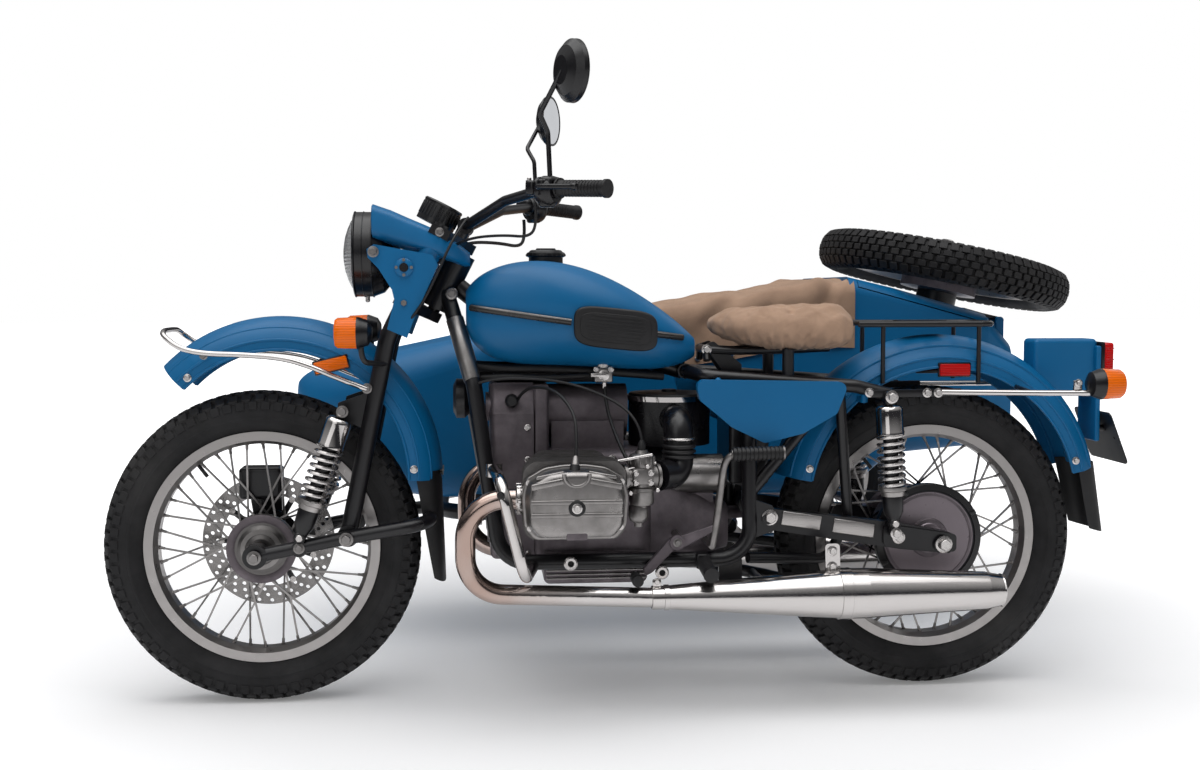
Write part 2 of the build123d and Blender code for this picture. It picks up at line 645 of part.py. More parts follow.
# Front and rear indicators: black base and amber lens in one piece
def indicator(base, facing, reach):
    """A round turn lamp on a stalk. Its base is at base, it faces along X, and its stalk reaches inward."""
    base = Vector(base)
    lamp = turned(
        base, base + Vector(facing * 80, 0, 0), ((0, 12), (0.12, 27), (0.5, 34), (0.62, 34), (0.95, 28), (1, 14)),
    )
    stalk = rod(base + Vector(facing * 30, -20, 0), base + Vector(facing * 30, -reach, 0), 13)
    return lamp, stalk


front_lamp, front_stalk = indicator((1243, 152, 819), 1, 0)
front_stalk = bent_tube([(1265, 152, 812), (1265, 152, 760), (1226, LEG_Y + 6, 752)], 12, 14)
with BuildPart() as front_indicators:
    for solid in (front_lamp, front_stalk):
        add(both_sides(solid))
    add(both_sides(leg), mode=Mode.SUBTRACT)
keep("front_indicators", front_indicators.part)

# Main frame of the motorcycle
head_low = on_steering(-HEAD_LENGTH / 2, 0)
head_high = on_steering(HEAD_LENGTH / 2, 0)
down_top = on_steering(-24, -8, 18)
cradle = bent_tube(
    [down_top, (1030, 104, 705), (975, RAIL_Y, RAIL_Z), (430, RAIL_Y, RAIL_Z), (430, SEAT_RAIL_Y, SEAT_RAIL_Z - 8)],
    TUBE_DIAMETER, 70,
)
seat_rail = bent_tube(
    [(560, 40, 728), (520, SEAT_RAIL_Y, SEAT_RAIL_Z + 14), (190, SEAT_RAIL_Y, SEAT_RAIL_Z - 10), (112, SEAT_RAIL_Y, 676)],
    30, 40,
)
rear_strut = rod((225, SEAT_RAIL_Y, SEAT_RAIL_Z - 4), (430, SEAT_RAIL_Y + 17, 462), 26)
rear_loop = bent_tube(
    [(224, SEAT_RAIL_Y - 8, SEAT_RAIL_Z - 12), (196, LOOP_Y, 400), (240, LOOP_Y, 306), (434, RAIL_Y - 6, RAIL_Z)], 24, 40,
)
shock_stub = rod(
    (REAR_SHOCK_TOP[0], SEAT_RAIL_Y - 6, 676), (REAR_SHOCK_TOP[0], REAR_SHOCK_Y + 20, 676), 20,
)
pivot_gusset = plate(
    [(436, 456), (382, 438), (364, 409), (382, 380), (436, 362)], ARM_Y + ARM_THICKNESS / 2 + 3, ARM_Y + ARM_THICKNESS / 2 + 12,
)
TOP_TUBE = [on_steering(4, 0), (980, 0, 850), (560, 0, 728)]
with BuildPart() as main_frame:
    with BuildSketch(Plane(origin=head_low, x_dir=(0, 1, 0), z_dir=STEER)):
        Circle(HEAD_RADIUS)
    extrude(amount=HEAD_LENGTH)
    add(bent_tube(TOP_TUBE, 40, 120))
    for solid in (cradle, seat_rail, rear_strut, rear_loop, shock_stub, pivot_gusset):
        add(both_sides(solid))
    for x, z, reach, diameter in (
        (560, 728, 46, 34), (520, RAIL_Z - 20, RAIL_Y, 24), (1018, 640, 110, 24),
    ):
        add(rod((x, -reach, z), (x, reach, z), diameter))
    add(rod((REAR_PIVOT_X, -150, REAR_PIVOT_Z), (REAR_PIVOT_X, 150, REAR_PIVOT_Z), 24))
    with BuildSketch(Plane(origin=head_low - STEER * 20, x_dir=(0, 1, 0), z_dir=STEER)):
        Circle(STEM_RADIUS + RUNNING_CLEARANCE)
    extrude(amount=HEAD_LENGTH + 40, mode=Mode.SUBTRACT)
keep("main_frame", main_frame.part)

# Engine: crankcase, front case, gearbox, cylinders, covers, carburettors, air cleaner, starter
crank = block((640, 900), (-CASE_HALF_WIDTH, CASE_HALF_WIDTH), (300, 560), 26)
sump = block((650, 880), (-96, 96), (262, 320), 14)
with BuildPart() as crankcase:
    add([crank, sump])
    for x in (LEFT_CYLINDER_X, LEFT_CYLINDER_X - CYLINDER_STAGGER):
        side = 1 if x == LEFT_CYLINDER_X else -1
        add(rod((x, side * 80, CYLINDER_Z), (x, side * (CASE_HALF_WIDTH + 12), CYLINDER_Z), 140))
    add(rod((690, 0, 640), (870, 0, 640), 118))
    add(block((700, 860), (-60, 60), (540, 620)))
    for x in (700, 850):
        add(rod((x, 1 - RAIL_Y + TUBE_DIAMETER / 2, RAIL_Z), (x, RAIL_Y - TUBE_DIAMETER / 2 - 1, RAIL_Z), 30))

with BuildPart() as front_case:
    with BuildSketch(Plane.YZ.offset(900.5)):
        with BuildLine():
            Polyline((-84, 320), (84, 320), (96, 420), (92, 640), (60, 706), (-60, 706), (-92, 640), (-96, 420), close=True)
        make_face()
    extrude(amount=96)
    fillet(front_case.faces().sort_by(Axis.X)[-1].edges(), 14)
    for side in (1, -1):
        add(rod((960, side * 50, 650), (1004, side * 50, 650), 56))
    add(both_sides(cradle), mode=Mode.SUBTRACT)
keep("front_case", front_case.part)

GEARBOX_START = 646.0
with BuildPart() as gearbox:
    for x, width, low, high in ((GEARBOX_START, 190, 296, 536), (560, 180, 306, 470), (466, 140, 330, 430)):
        with BuildSketch(Plane.YZ.offset(x)):
            with Locations((0, (low + high) / 2)):
                RectangleRounded(width, high - low, 34)
    loft(ruled=True)


def cylinder_stack(x, side):
    """Finned barrel and head of one cylinder, lying along Y."""
    start = CASE_HALF_WIDTH + 12.5
    with BuildPart() as stack:
        add(rod((x, side * start, CYLINDER_Z), (x, side * HEAD_END_Y, CYLINDER_Z), 2 * BARREL_RADIUS))
        for fin in range(FIN_COUNT):
            level = start + 8 + fin * FIN_PITCH
            with BuildSketch(Plane.XZ.offset(-side * level)):
                with Locations((x, CYLINDER_Z)):
                    RectangleRounded(FIN_SIZE, FIN_SIZE - 12, 40)
            extrude(amount=-side * FIN_THICKNESS)
        for fin in range(6):
            level = HEAD_START_Y + 4 + fin * 14
            with BuildSketch(Plane.XZ.offset(-side * level)):
                with Locations((x, CYLINDER_Z)):
                    RectangleRounded(COVER_WIDTH - 8, COVER_HEIGHT + 8, 30)
            extrude(amount=-side * FIN_THICKNESS)
        with BuildSketch(Plane.XZ.offset(-side * HEAD_START_Y)):
            with Locations((x, CYLINDER_Z)):
                RectangleRounded(COVER_WIDTH - 36, COVER_HEIGHT - 26, 24)
        extrude(amount=-side * (HEAD_END_Y - HEAD_START_Y))
        add(rod((x + 60, side * 284, CYLINDER_Z), (x + 116, side * 284, CYLINDER_Z), PIPE_DIAMETER + 14))
        add(rod((x - 60, side * 250, CYLINDER_Z + 34), (x - 112, side * 236, CYLINDER_Z + 34), 48))
    return stack.part


with BuildPart() as cylinders:
    add(cylinder_stack(LEFT_CYLINDER_X, 1))
    add(cylinder_stack(LEFT_CYLINDER_X - CYLINDER_STAGGER, -1))
keep("cylinders", cylinders.part)


def valve_cover(x, side):
    """One domed rocker cover with two raised ribs and a middle boss."""
    with BuildPart() as cover:
        with BuildSketch(Plane.XZ.offset(-side * (HEAD_END_Y + 0.5))):
            with Locations((x, CYLINDER_Z)):
                RectangleRounded(COVER_WIDTH, COVER_HEIGHT, 36)
        extrude(amount=-side * 14)
        with BuildSketch(Plane.XZ.offset(-side * (HEAD_END_Y + 14))):
            with Locations((x, CYLINDER_Z)):
                RectangleRounded(COVER_WIDTH - 14, COVER_HEIGHT - 14, 32)
        extrude(amount=-side * (COVER_DEPTH - 22), taper=16)
        for z in (CYLINDER_Z - 22, CYLINDER_Z + 22):
            add(rod((x - 66, side * (HEAD_END_Y + COVER_DEPTH - 12), z), (x + 66, side * (HEAD_END_Y + COVER_DEPTH - 12), z), 18))
        add(rod((x, side * (HEAD_END_Y + 30), CYLINDER_Z), (x, side * (HEAD_END_Y + COVER_DEPTH), CYLINDER_Z), 26))
    return cover.part


with BuildPart() as valve_covers:
    add(valve_cover(LEFT_CYLINDER_X, 1))
    add(valve_cover(LEFT_CYLINDER_X - CYLINDER_STAGGER, -1))
keep("valve_covers", valve_covers.part)

with BuildPart() as carburettors:
    for x, side in ((LEFT_CYLINDER_X, 1), (LEFT_CYLINDER_X - CYLINDER_STAGGER, -1)):
        z = CYLINDER_Z + 34
        add(rod((x - 104, side * 236, z), (x - 184, side * 214, z), 46))
        add(rod((x - 148, side * 226, z - 66), (x - 148, side * 226, z + 58), 56))
    add(cylinders.part, mode=Mode.SUBTRACT)
keep("carburettors", carburettors.part)

with BuildPart() as air_cleaner:
    with Locations((590, 0, 614)):
        Cylinder(92, 102)
    with Locations((590, 0, 668)):
        Cylinder(96, 10)
    for x, side in ((LEFT_CYLINDER_X - 184.5, 1), (LEFT_CYLINDER_X - CYLINDER_STAGGER - 184.5, -1)):
        elbow = bent_tube(
            [(592, side * 50, 625), (592, side * 158, 625), (592, side * 168, CYLINDER_Z + 34), (x, side * 214, CYLINDER_Z + 34)],
            64, 34,
        )
        add(elbow)
    add([carburettors.part, crankcase.part], mode=Mode.SUBTRACT)
keep("air_cleaner", air_cleaner.part)

with BuildPart() as starter:
    add(turned((474, 62, 500), (600, 62, 500), ((0, 34), (0.06, 43), (0.94, 43), (1, 38))))
    add(block((500, 560), (30, 70), (436, 470)))
with BuildPart() as engine:
    add([crankcase.part, gearbox.part, starter.part])
keep("engine_block", engine.part)

# Exhausts: header pipe and tapered silencer on each side
def exhaust(x, side, silencer_y):
    """Header pipe from the head, round in front, and back into its silencer."""
    pipe = bent_tube(
        [
            (x + 116.5, side * 284, CYLINDER_Z), (PIPE_FRONT_X, side * 284, CYLINDER_Z),
            (PIPE_FRONT_X, side * 268, 284), (MUFFLER_START_X, side * (silencer_y + 12), MUFFLER_Z + 8),
        ], PIPE_DIAMETER, 84,
    )
    silencer = turned(
        (MUFFLER_START_X, side * (silencer_y + 12), MUFFLER_Z + 8), (MUFFLER_END_X, side * silencer_y, MUFFLER_Z + 6),
        (
            (0, PIPE_DIAMETER / 2 + 4), (0.03, PIPE_DIAMETER / 2 + 4),
            ((MUFFLER_START_X - MUFFLER_WIDE_X) / (MUFFLER_START_X - MUFFLER_END_X), MUFFLER_RADIUS),
            (0.60, MUFFLER_RADIUS), (0.955, MUFFLER_TAIL_RADIUS), (1, MUFFLER_TAIL_RADIUS - 7),
        ),
    )
    outlet_start = (MUFFLER_END_X - 1, side * silencer_y, MUFFLER_Z + 6)
    outlet = rod(outlet_start, (MUFFLER_END_X + 40, side * silencer_y, MUFFLER_Z + 6), 52)
    hanger_y = sorted((side * (silencer_y - 10), side * (silencer_y - 4)))
    hanger = plate([(244, 296), (276, 296), (278, 362), (246, 362)], *hanger_y, 8)
    hanger_bolt = rod((262, hanger_y[1], 346), (262, hanger_y[0], 346), 20)
    hanger_rod = rod((258, side * (silencer_y - 8), 322), (246, side * (LOOP_Y + 6), 312), 12)
    with BuildPart() as system:
        add([pipe, silencer, hanger, hanger_bolt, hanger_rod])
        add(main_frame.part, mode=Mode.SUBTRACT)
        add(outlet, mode=Mode.SUBTRACT)
    return system.part


left_exhaust = exhaust(LEFT_CYLINDER_X, 1, MUFFLER_Y)
right_exhaust = exhaust(LEFT_CYLINDER_X - CYLINDER_STAGGER, -1, RIGHT_MUFFLER_Y)
with BuildPart() as exhausts:
    add([left_exhaust, right_exhaust])
keep("exhausts", exhausts.part)

crash_bar = bent_tube(
    [(990, 150, 528), (978, 345, 528), (930, 345, 326), (906, RAIL_Y + TUBE_DIAMETER / 2 + 0.5, 316)], 25, 52,
)
crash_clamp = rod((988, 158, 540), (988, 158, 512), 36)
with BuildPart() as crash_bars:
    add(both_sides(crash_bar))
    add(both_sides(crash_clamp))
    add(both_sides(cradle), mode=Mode.SUBTRACT)
keep("crash_bars", crash_bars.part)

# Fuel tank over the frame's top tube, with its filler cap and knee pads
TANK_SECTIONS = (
    # x, width, low, high, corner
    (1046, 150, 826, 906, 34),
    (1005, 232, 770, 946, 62),
    (870, 304, 744, 972, 92),
    (700, 288, 736, 918, 80),
    (590, 196, 740, 846, 48),
    (540, 110, 760, 802, 19),
)
tank_gap = rod(down_top, (1030, 104, 705), TUBE_DIAMETER + 6)
with BuildPart() as fuel_tank:
    for x, width, low, high, corner in TANK_SECTIONS:
        with BuildSketch(Plane.YZ.offset(x)):
            with Locations((0, (low + high) / 2)):
                RectangleRounded(width, high - low, corner)
    loft()
    tunnel = bent_tube([*TOP_TUBE[:2], (500, 0, 711)], 58, 120)
    add(tunnel, mode=Mode.SUBTRACT)
    with BuildSketch(Plane.XZ):
        with BuildLine():
            Polyline((1100, 880), (980, 852), (520, 720), (520, 640), (1100, 640), close=True)
        make_face()
    extrude(amount=26, both=True, mode=Mode.SUBTRACT)
    with BuildSketch(steering_plane(-HEAD_LENGTH)):
        Circle(HEAD_RADIUS + 12)
    extrude(amount=2 * HEAD_LENGTH, mode=Mode.SUBTRACT)
    add(both_sides(tank_gap), mode=Mode.SUBTRACT)
    for x, z in ((700, 769), (930, 836)):
        add(rod((x, 0, z + 6), (x, 0, z + 46), 30))
    add(main_frame.part, mode=Mode.SUBTRACT)
keep("fuel_tank", fuel_tank.part)

with BuildPart() as filler_cap:
    with BuildSketch(Plane.XY.offset(962)):
        with Locations((868, 0)):
            Circle(38)
    extrude(amount=36)
    add(fuel_tank.part, mode=Mode.SUBTRACT)
    fillet(filler_cap.faces().sort_by(Axis.Z)[-1].edges(), 7)
keep("filler_cap", filler_cap.part)

knee_outline = [(622, 792), (640, 874), (800, 884), (816, 868), (806, 786), (690, 774)]
with BuildPart() as knee_pads:
    add(both_sides(plate(knee_outline, 118, 162, 16)))
    add(fuel_tank.part, mode=Mode.SUBTRACT)
    with Locations((720, 0, 830)):
        Box(300, 236, 200, mode=Mode.SUBTRACT)
keep("knee_pads", knee_pads.part)

# Rider's saddle with its bracket and side panels
SADDLE_SECTIONS = (
    # x, width, low, high, corner
    (512, 86, 806, 840, 16),
    (440, 190, 796, 858, 28),
    (330, 280, 790, 866, 34),
    (230, 276, 792, 868, 36),
    (190, 200, 806, 856, 24),
)
with BuildPart() as saddle:
    for x, width, low, high, corner in SADDLE_SECTIONS:
        with BuildSketch(Plane.YZ.offset(x)):
            with Locations((0, (low + high) / 2)):
                RectangleRounded(width, high - low, corner)
    loft()
keep("rider_saddle", saddle.part)

saddle_strut = plate([(516, 786), (494, 794), (430, 742), (432, 712), (462, 712)], 28, 36, 6)
saddle_arm = bent_tube([(520, 30, 776), (440, 40, 772), (330, 70, 776), (240, 70, 780)], 18, 60)
with BuildPart() as saddle_bracket:
    add(both_sides(saddle_arm))
    add(both_sides(saddle_strut))
    add(rod((512, -46, 776), (512, 46, 776), 20))
    add(rod((330, -72, 776), (330, 72, 776), 16))
    add(both_sides(rod((330, 66, 770), (330, 66, 789), 26)))
    add(both_sides(rod((340, SEAT_RAIL_Y - 8, 778), (340, SEAT_RAIL_Y - 8, SEAT_RAIL_Z), 26)))
    add(both_sides(rod((340, 60, 776), (340, SEAT_RAIL_Y - 8, 776), 16)))
    add(both_sides(rod((512, 40, 776), (512, 52, 752), 16)))
    add(main_frame.part, mode=Mode.SUBTRACT)
keep("saddle_bracket", saddle_bracket.part)

side_outline = [(556, 716), (219, 709), (246, 640), (320, 598), (405, 578), (475, 612), (547, 672)]
panel_peg = rod((300, 126, 690), (300, 152, 690), 16)
with BuildPart() as side_panels:
    add(both_sides(plate(side_outline, SEAT_RAIL_Y + 34, SEAT_RAIL_Y + 58, 16)))
    add(both_sides(rod((300, SEAT_RAIL_Y + 15.6, 695), (300, SEAT_RAIL_Y + 40, 695), 14)))
    add(both_sides(rod((500, SEAT_RAIL_Y + 14, 712), (500, SEAT_RAIL_Y + 40, 700), 14)))
    add(both_sides(seat_rail), mode=Mode.SUBTRACT)
keep("side_panels", side_panels.part)

battery = block((376, 466), (-84, 84), (476, 690), 10)
with BuildPart() as battery_box:
    add(battery)
    add(both_sides(rod((430, 70, 600), (430, SEAT_RAIL_Y + 1, 600), 16)))
    add(both_sides(cradle), mode=Mode.SUBTRACT)
    add(both_sides(rear_strut), mode=Mode.SUBTRACT)

# Swinging arm with the rear axle, shock absorbers, shaft drive
arm = plate(
    [(REAR_PIVOT_X + 14, 386), (REAR_PIVOT_X + 14, 432), (90, 392), (-28, 368), (-28, 322), (90, 334)],
    ARM_Y - ARM_THICKNESS / 2, ARM_Y + ARM_THICKNESS / 2, 8,
)
arm_plate = plate([(130, 392), (-36, 366), (-36, 326), (130, 344)], ARM_Y + ARM_THICKNESS / 2 - 1, ARM_Y + ARM_THICKNESS / 2 + 7, 10)
pivot_bush = rod((REAR_PIVOT_X, -90, REAR_PIVOT_Z), (REAR_PIVOT_X, 90, REAR_PIVOT_Z), 2 * PIVOT_TUBE_RADIUS)
rear_spacer = rod((0, HUB_HALF_LENGTH + HUB_GAP, TYRE_RADIUS), (0, ARM_Y, TYRE_RADIUS), 2 * SPACER_RADIUS)
rear_foot = rod(
    (REAR_SHOCK_LOW[0], ARM_Y, REAR_SHOCK_LOW[1] - 22), (REAR_SHOCK_LOW[0], REAR_SHOCK_Y + 18, REAR_SHOCK_LOW[1] - 22), 20,
)
foot_lug = rod((REAR_SHOCK_LOW[0], REAR_SHOCK_Y, REAR_SHOCK_LOW[1] - 22), (REAR_SHOCK_LOW[0], REAR_SHOCK_Y, REAR_SHOCK_LOW[1] - 2), 20)
with BuildPart() as rear_arm:
    add(both_sides(arm))
    add(arm_plate)
    for solid in (rear_spacer, rear_foot, foot_lug):
        add(both_sides(solid))
    add(rod((0, -ARM_Y - 18, TYRE_RADIUS), (0, ARM_Y + 34, TYRE_RADIUS), 2 * AXLE_RADIUS))
    add(rod((0, ARM_Y, TYRE_RADIUS), (0, ARM_Y + 28, TYRE_RADIUS), 34))
    add(both_sides(rod((REAR_PIVOT_X, 60, REAR_PIVOT_Z), (REAR_PIVOT_X, ARM_Y + 13, REAR_PIVOT_Z), 48)))
    add(main_frame.part, mode=Mode.SUBTRACT)

with BuildPart() as rear_shocks:
    top = Vector(REAR_SHOCK_TOP[0], REAR_SHOCK_Y, 676 - 10.5)
    low = Vector(REAR_SHOCK_LOW[0], REAR_SHOCK_Y, REAR_SHOCK_LOW[1] - 1.5)
    add(both_sides(shock(top, low)))
    add([rear_arm.part, main_frame.part], mode=Mode.SUBTRACT)

DRIVE_Y = -ARM_Y - ARM_THICKNESS / 2 - 1
with BuildPart() as final_drive:
    add(turned((0, DRIVE_Y, TYRE_RADIUS), (0, DRIVE_Y - 62, TYRE_RADIUS), ((0, 92), (0.2, 98), (0.75, 80), (1, 34))))
    add(rod((40, DRIVE_Y - 26, 352), (150, DRIVE_Y - 22, 362), 62))
    add(bent_tube([(120, DRIVE_Y - 22, 360), (330, DRIVE_Y - 8, 384), (480, -60, 390)], 30, 120))
    with Locations((0, DRIVE_Y, TYRE_RADIUS)):
        Cylinder(AXLE_RADIUS + 0.3, 60, rotation=(90, 0, 0), mode=Mode.SUBTRACT)
    for solid in (cradle, rear_strut):
        add(solid.mirror(Plane.XZ), mode=Mode.SUBTRACT)
    add([gearbox.part, rear_arm.part, main_frame.part, rear_shocks.part], mode=Mode.SUBTRACT)

# Rear fender with flap, rack, lamps and plate carrier
rear_arch = fender(REAR_FENDER_X, REAR_FENDER_Z, REAR_FENDER_RADIUS, FENDER_HALF_WIDTH + 8, 80, 78)
fender_side_y = FENDER_HALF_WIDTH + 8
with BuildPart() as rear_fender:
    add(rear_arch)
    add(both_sides(rod((170, fender_side_y - 1, SEAT_RAIL_Z - 40), (170, SEAT_RAIL_Y, SEAT_RAIL_Z - 40), 16)))
    add(both_sides(rod((170, SEAT_RAIL_Y, SEAT_RAIL_Z - 46), (170, SEAT_RAIL_Y, SEAT_RAIL_Z - 28.5), 16)))
    add(main_frame.part, mode=Mode.SUBTRACT)

with BuildPart() as rear_flap:
    with BuildSketch(Plane.XZ.offset(-FLAP_HALF_WIDTH)):
        with BuildLine():
            flap_x = REAR_FENDER_X - (REAR_FENDER_RADIUS - SHEET) * cos(radians(12)) - 5
            Polyline((flap_x - 1, 506), (flap_x + 4, 504), (-424, 351), (-429, 352), close=True)
        make_face()
    extrude(amount=2 * FLAP_HALF_WIDTH)
    add(rear_arch, mode=Mode.SUBTRACT)
keep("rear_flap", rear_flap.part)

RACK_Z = 832.0
RACK_HALF_WIDTH = FENDER_HALF_WIDTH + 8 + 5.2
rack_side = bent_tube([(176, RACK_HALF_WIDTH, RACK_Z), (-136, RACK_HALF_WIDTH, RACK_Z), (-136, -RACK_HALF_WIDTH, RACK_Z), (176, -RACK_HALF_WIDTH, RACK_Z)], 14, 30)
with BuildPart() as rear_rack:
    add(rack_side)
    for x in (-70, 0, 70, 150):
        add(rod((x, -RACK_HALF_WIDTH, RACK_Z), (x, RACK_HALF_WIDTH, RACK_Z), 10))
    add(block((-40, 60), (-40, 40), (RACK_Z - 7, RACK_Z + 7)))
    for x in (-100, 120):
        add(both_sides(rod((x, RACK_HALF_WIDTH, RACK_Z), (x, RACK_HALF_WIDTH, 700), 10)))
    for x, y in ((-25, -25), (-25, 25), (45, -25), (45, 25)):
        with Locations((x, y, RACK_Z)):
            Cylinder(3.3, 40, mode=Mode.SUBTRACT)
keep("rear_rack", rear_rack.part)

rear_stay = bent_tube([(112, SEAT_RAIL_Y + 16, 678), (20, SEAT_RAIL_Y + 30, 684), (-250, 178, 682), (-318, 186, 690)], STAY_DIAMETER, 40)
rear_lamp, spare_stalk = indicator((-306, 190, 702), -1, 0)
stay_brace = rod((-190, fender_side_y + 0.5, 690), (-190, 168, 683), 10)
with BuildPart() as rear_indicators:
    for solid in (rear_stay, rear_lamp, stay_brace):
        add(both_sides(solid))
    add(main_frame.part, mode=Mode.SUBTRACT)
    add(rear_arch, mode=Mode.SUBTRACT)
    add(rear_shocks.part, mode=Mode.SUBTRACT)
keep("rear_indicators", rear_indicators.part)

lamp_neck = block((-400, -250), (-36, 36), (668, 796), 10)
with BuildPart() as lamp_bracket:
    add(lamp_neck)
    add(block((-404, -392), (-48, 48), (560, 780), 4))
    with Locations((REAR_FENDER_X, 0, REAR_FENDER_Z)):
        Cylinder(REAR_FENDER_RADIUS - 9, 200, rotation=(90, 0, 0), mode=Mode.SUBTRACT)
    add(rear_fender.part)
keep("rear_fender", lamp_bracket.part)

with BuildPart() as tail_lamp:
    add(block((-436, -404.5), (-46, 46), (708, 788), 8))

PLATE_TILT = 21.0
with BuildPart() as number_plate:
    with BuildSketch(Plane(origin=(-426, 0, 570), x_dir=(0, 1, 0), z_dir=(-cos(radians(PLATE_TILT)), 0, sin(radians(PLATE_TILT))))):
        RectangleRounded(190, 126, 12)
        with Locations((-73, 0), (73, 0)):
            Circle(3.4, mode=Mode.SUBTRACT)
    extrude(amount=3)
    add(rod((-404.5, -30, 592), (-422, -30, 588), 14))
    add(rod((-404.5, 30, 592), (-422, 30, 588), 14))
    add(lamp_bracket.part, mode=Mode.SUBTRACT)
keep("number_plate", number_plate.part)

# Foot controls and the folded centre stand
peg = rod((538, RAIL_Y + TUBE_DIAMETER / 2 + 0.5, RAIL_Z), (538, 268, 312), 24)
gear_lever = bent_tube([(590, 84, 372), (590, 172, 372), (680, 176, 300), (690, 205, 298)], 12, 16)
kick_lever = bent_tube([(520, 72, 356), (520, 168, 356), (400, 178, 540), (372, 205, 552)], 15, 24)
kick_pedal = rod((372, 176, 550), (372, 262, 554), 24)
with BuildPart() as foot_controls:
    add(both_sides(peg))
    add(gear_lever)
    add(kick_lever)
    add(rod((690, 196, 298), (690, 246, 298), 20))
    add(rod((384, 192, 548), (384, 262, 552), 24))
    add(bent_tube([(600, -84, 372), (600, -172, 372), (690, -178, 296), (700, -212, 294)], 13, 16))
    add(both_sides(cradle), mode=Mode.SUBTRACT)
    add(gearbox.part, mode=Mode.SUBTRACT)
keep("foot_controls", foot_controls.part)

STAND_X = 470.0
STAND_Z = 262.0
STAND_Y = 96.0
STAND_PIN_RADIUS = 9.0
stand_bracket = plate([(STAND_X - 26, STAND_Z - 18), (STAND_X + 26, STAND_Z - 18), (STAND_X + 26, RAIL_Z - 6), (STAND_X - 26, RAIL_Z - 6)], STAND_Y + 18, STAND_Y + 26)
stand_lug = rod((STAND_X, STAND_Y + 10, RAIL_Z), (STAND_X, RAIL_Y - TUBE_DIAMETER / 2 - 0.5, RAIL_Z), 30)
with BuildPart() as stand_mount:
    add(both_sides(stand_bracket))
    add(both_sides(stand_lug))
    add(rod((STAND_X, -STAND_Y - 30, STAND_Z), (STAND_X, STAND_Y + 30, STAND_Z), 2 * STAND_PIN_RADIUS))

stand_leg = bent_tube([(STAND_X, STAND_Y, STAND_Z), (350, STAND_Y + 4, 236), (246, STAND_Y + 18, 208)], 28, 60)
stand_foot = block((224, 268), (STAND_Y + 2, STAND_Y + 40), (190, 206), 4)
with BuildPart() as centre_stand:
    add(rod((STAND_X, 10 - STAND_Y, STAND_Z), (STAND_X, STAND_Y - 10, STAND_Z), 38))
    add(both_sides(rod((STAND_X, STAND_Y - 14, STAND_Z), (STAND_X, STAND_Y + 8, STAND_Z), 38)))
    add(both_sides(stand_leg))
    add(both_sides(stand_foot))
    add(rod((378, -STAND_Y - 2, 243), (378, STAND_Y + 2, 243), 20))
    add(rod((STAND_X, -160, STAND_Z), (STAND_X, 160, STAND_Z), 2 * (STAND_PIN_RADIUS + RUNNING_CLEARANCE)), mode=Mode.SUBTRACT)
keep("centre_stand", centre_stand.part)

# Sidecar body: hollow tub with nose, cockpit opening and trunk
NOSE_SECTIONS = (
    # x, width, low, high, corner
    (COCKPIT_FRONT_X, 545, 372, 815, 58),
    (1150, 532, 378, 772, 84),
    (1330, 446, 424, 736, 104),
    (1440, 320, 502, 706, 92),
    (1495, 130, 584, 668, 40),
)
BODY_SECTIONS = (
    (COCKPIT_FRONT_X, 545, 372, 815, 58),
    (COCKPIT_REAR_X, 545, 380, 944, 40),
    (-60, 540, 480, 916, 40),
    (-316, 512, 500, 846, 44),
    (-392, 450, 540, 772, 44),
)


def tub_loft(sections, inset, smooth):
    """A body through the tub's sections, each drawn in by inset all round."""
    with BuildPart() as body:
        for x, width, low, high, corner in sections:
            with BuildSketch(Plane.YZ.offset(x)):
                with Locations((TUB_Y, (low + high) / 2)):
                    RectangleRounded(width - 2 * inset, high - low - 2 * inset, max(corner - inset, 12))
        loft(ruled=not smooth)
    return body.part


def trunk_split(shift):
    """The part of space above the lid's seam, moved up by shift."""
    with BuildPart() as space:
        with BuildSketch(Plane.XZ.offset(-TUB_Y - 400)):
            with BuildLine():
                Polyline((38, 1200), (38, 916 + shift), (-318, 820 + shift), (-900, 663 + shift), (-900, 1200), close=True)
            make_face()
        extrude(amount=800)
    return space.part


inner_nose = [(x, width, low, high, corner) for x, width, low, high, corner in NOSE_SECTIONS[:4]]
nose = tub_loft(NOSE_SECTIONS, 0, True)
body = tub_loft(BODY_SECTIONS, 0, False)
trunk_sections = [(36.0, 545, 402, 936, 40), *BODY_SECTIONS[2:4], (-372, 466, 530, 790, 44)]
nose_room = tub_loft(inner_nose, TUB_WALL, True)
cockpit_room = tub_loft(BODY_SECTIONS[:2], TUB_WALL, False)
trunk_room = tub_loft(trunk_sections, TUB_WALL, False)
with BuildPart() as cockpit_cut:
    with BuildSketch(Plane.XZ.offset(-TUB_Y - 400)) as opening:
        with BuildLine():
            Polyline(
                (COCKPIT_FRONT_X, 1200), (COCKPIT_FRONT_X, COCKPIT_RIM_Z), (472, 742),
                (COCKPIT_REAR_X + 1, COCKPIT_RIM_Z + 14), (COCKPIT_REAR_X + 1, 1200), close=True,
            )
        make_face()
    extrude(amount=800)
with BuildPart() as tub:
    add([nose, body])
    add([nose_room, cockpit_room, trunk_room], mode=Mode.SUBTRACT)
    add(cockpit_cut.part, mode=Mode.SUBTRACT)
    add(trunk_split(0), mode=Mode.SUBTRACT)

with BuildPart() as trunk_lid:
    add(body)
    add(trunk_room, mode=Mode.SUBTRACT)
    add(trunk_split(LID_GAP), mode=Mode.INTERSECT)
    with Locations((COCKPIT_REAR_X + 36, TUB_Y, 900)):
        Box(120, 800, 400, mode=Mode.SUBTRACT)
keep("trunk_lid", trunk_lid.part)

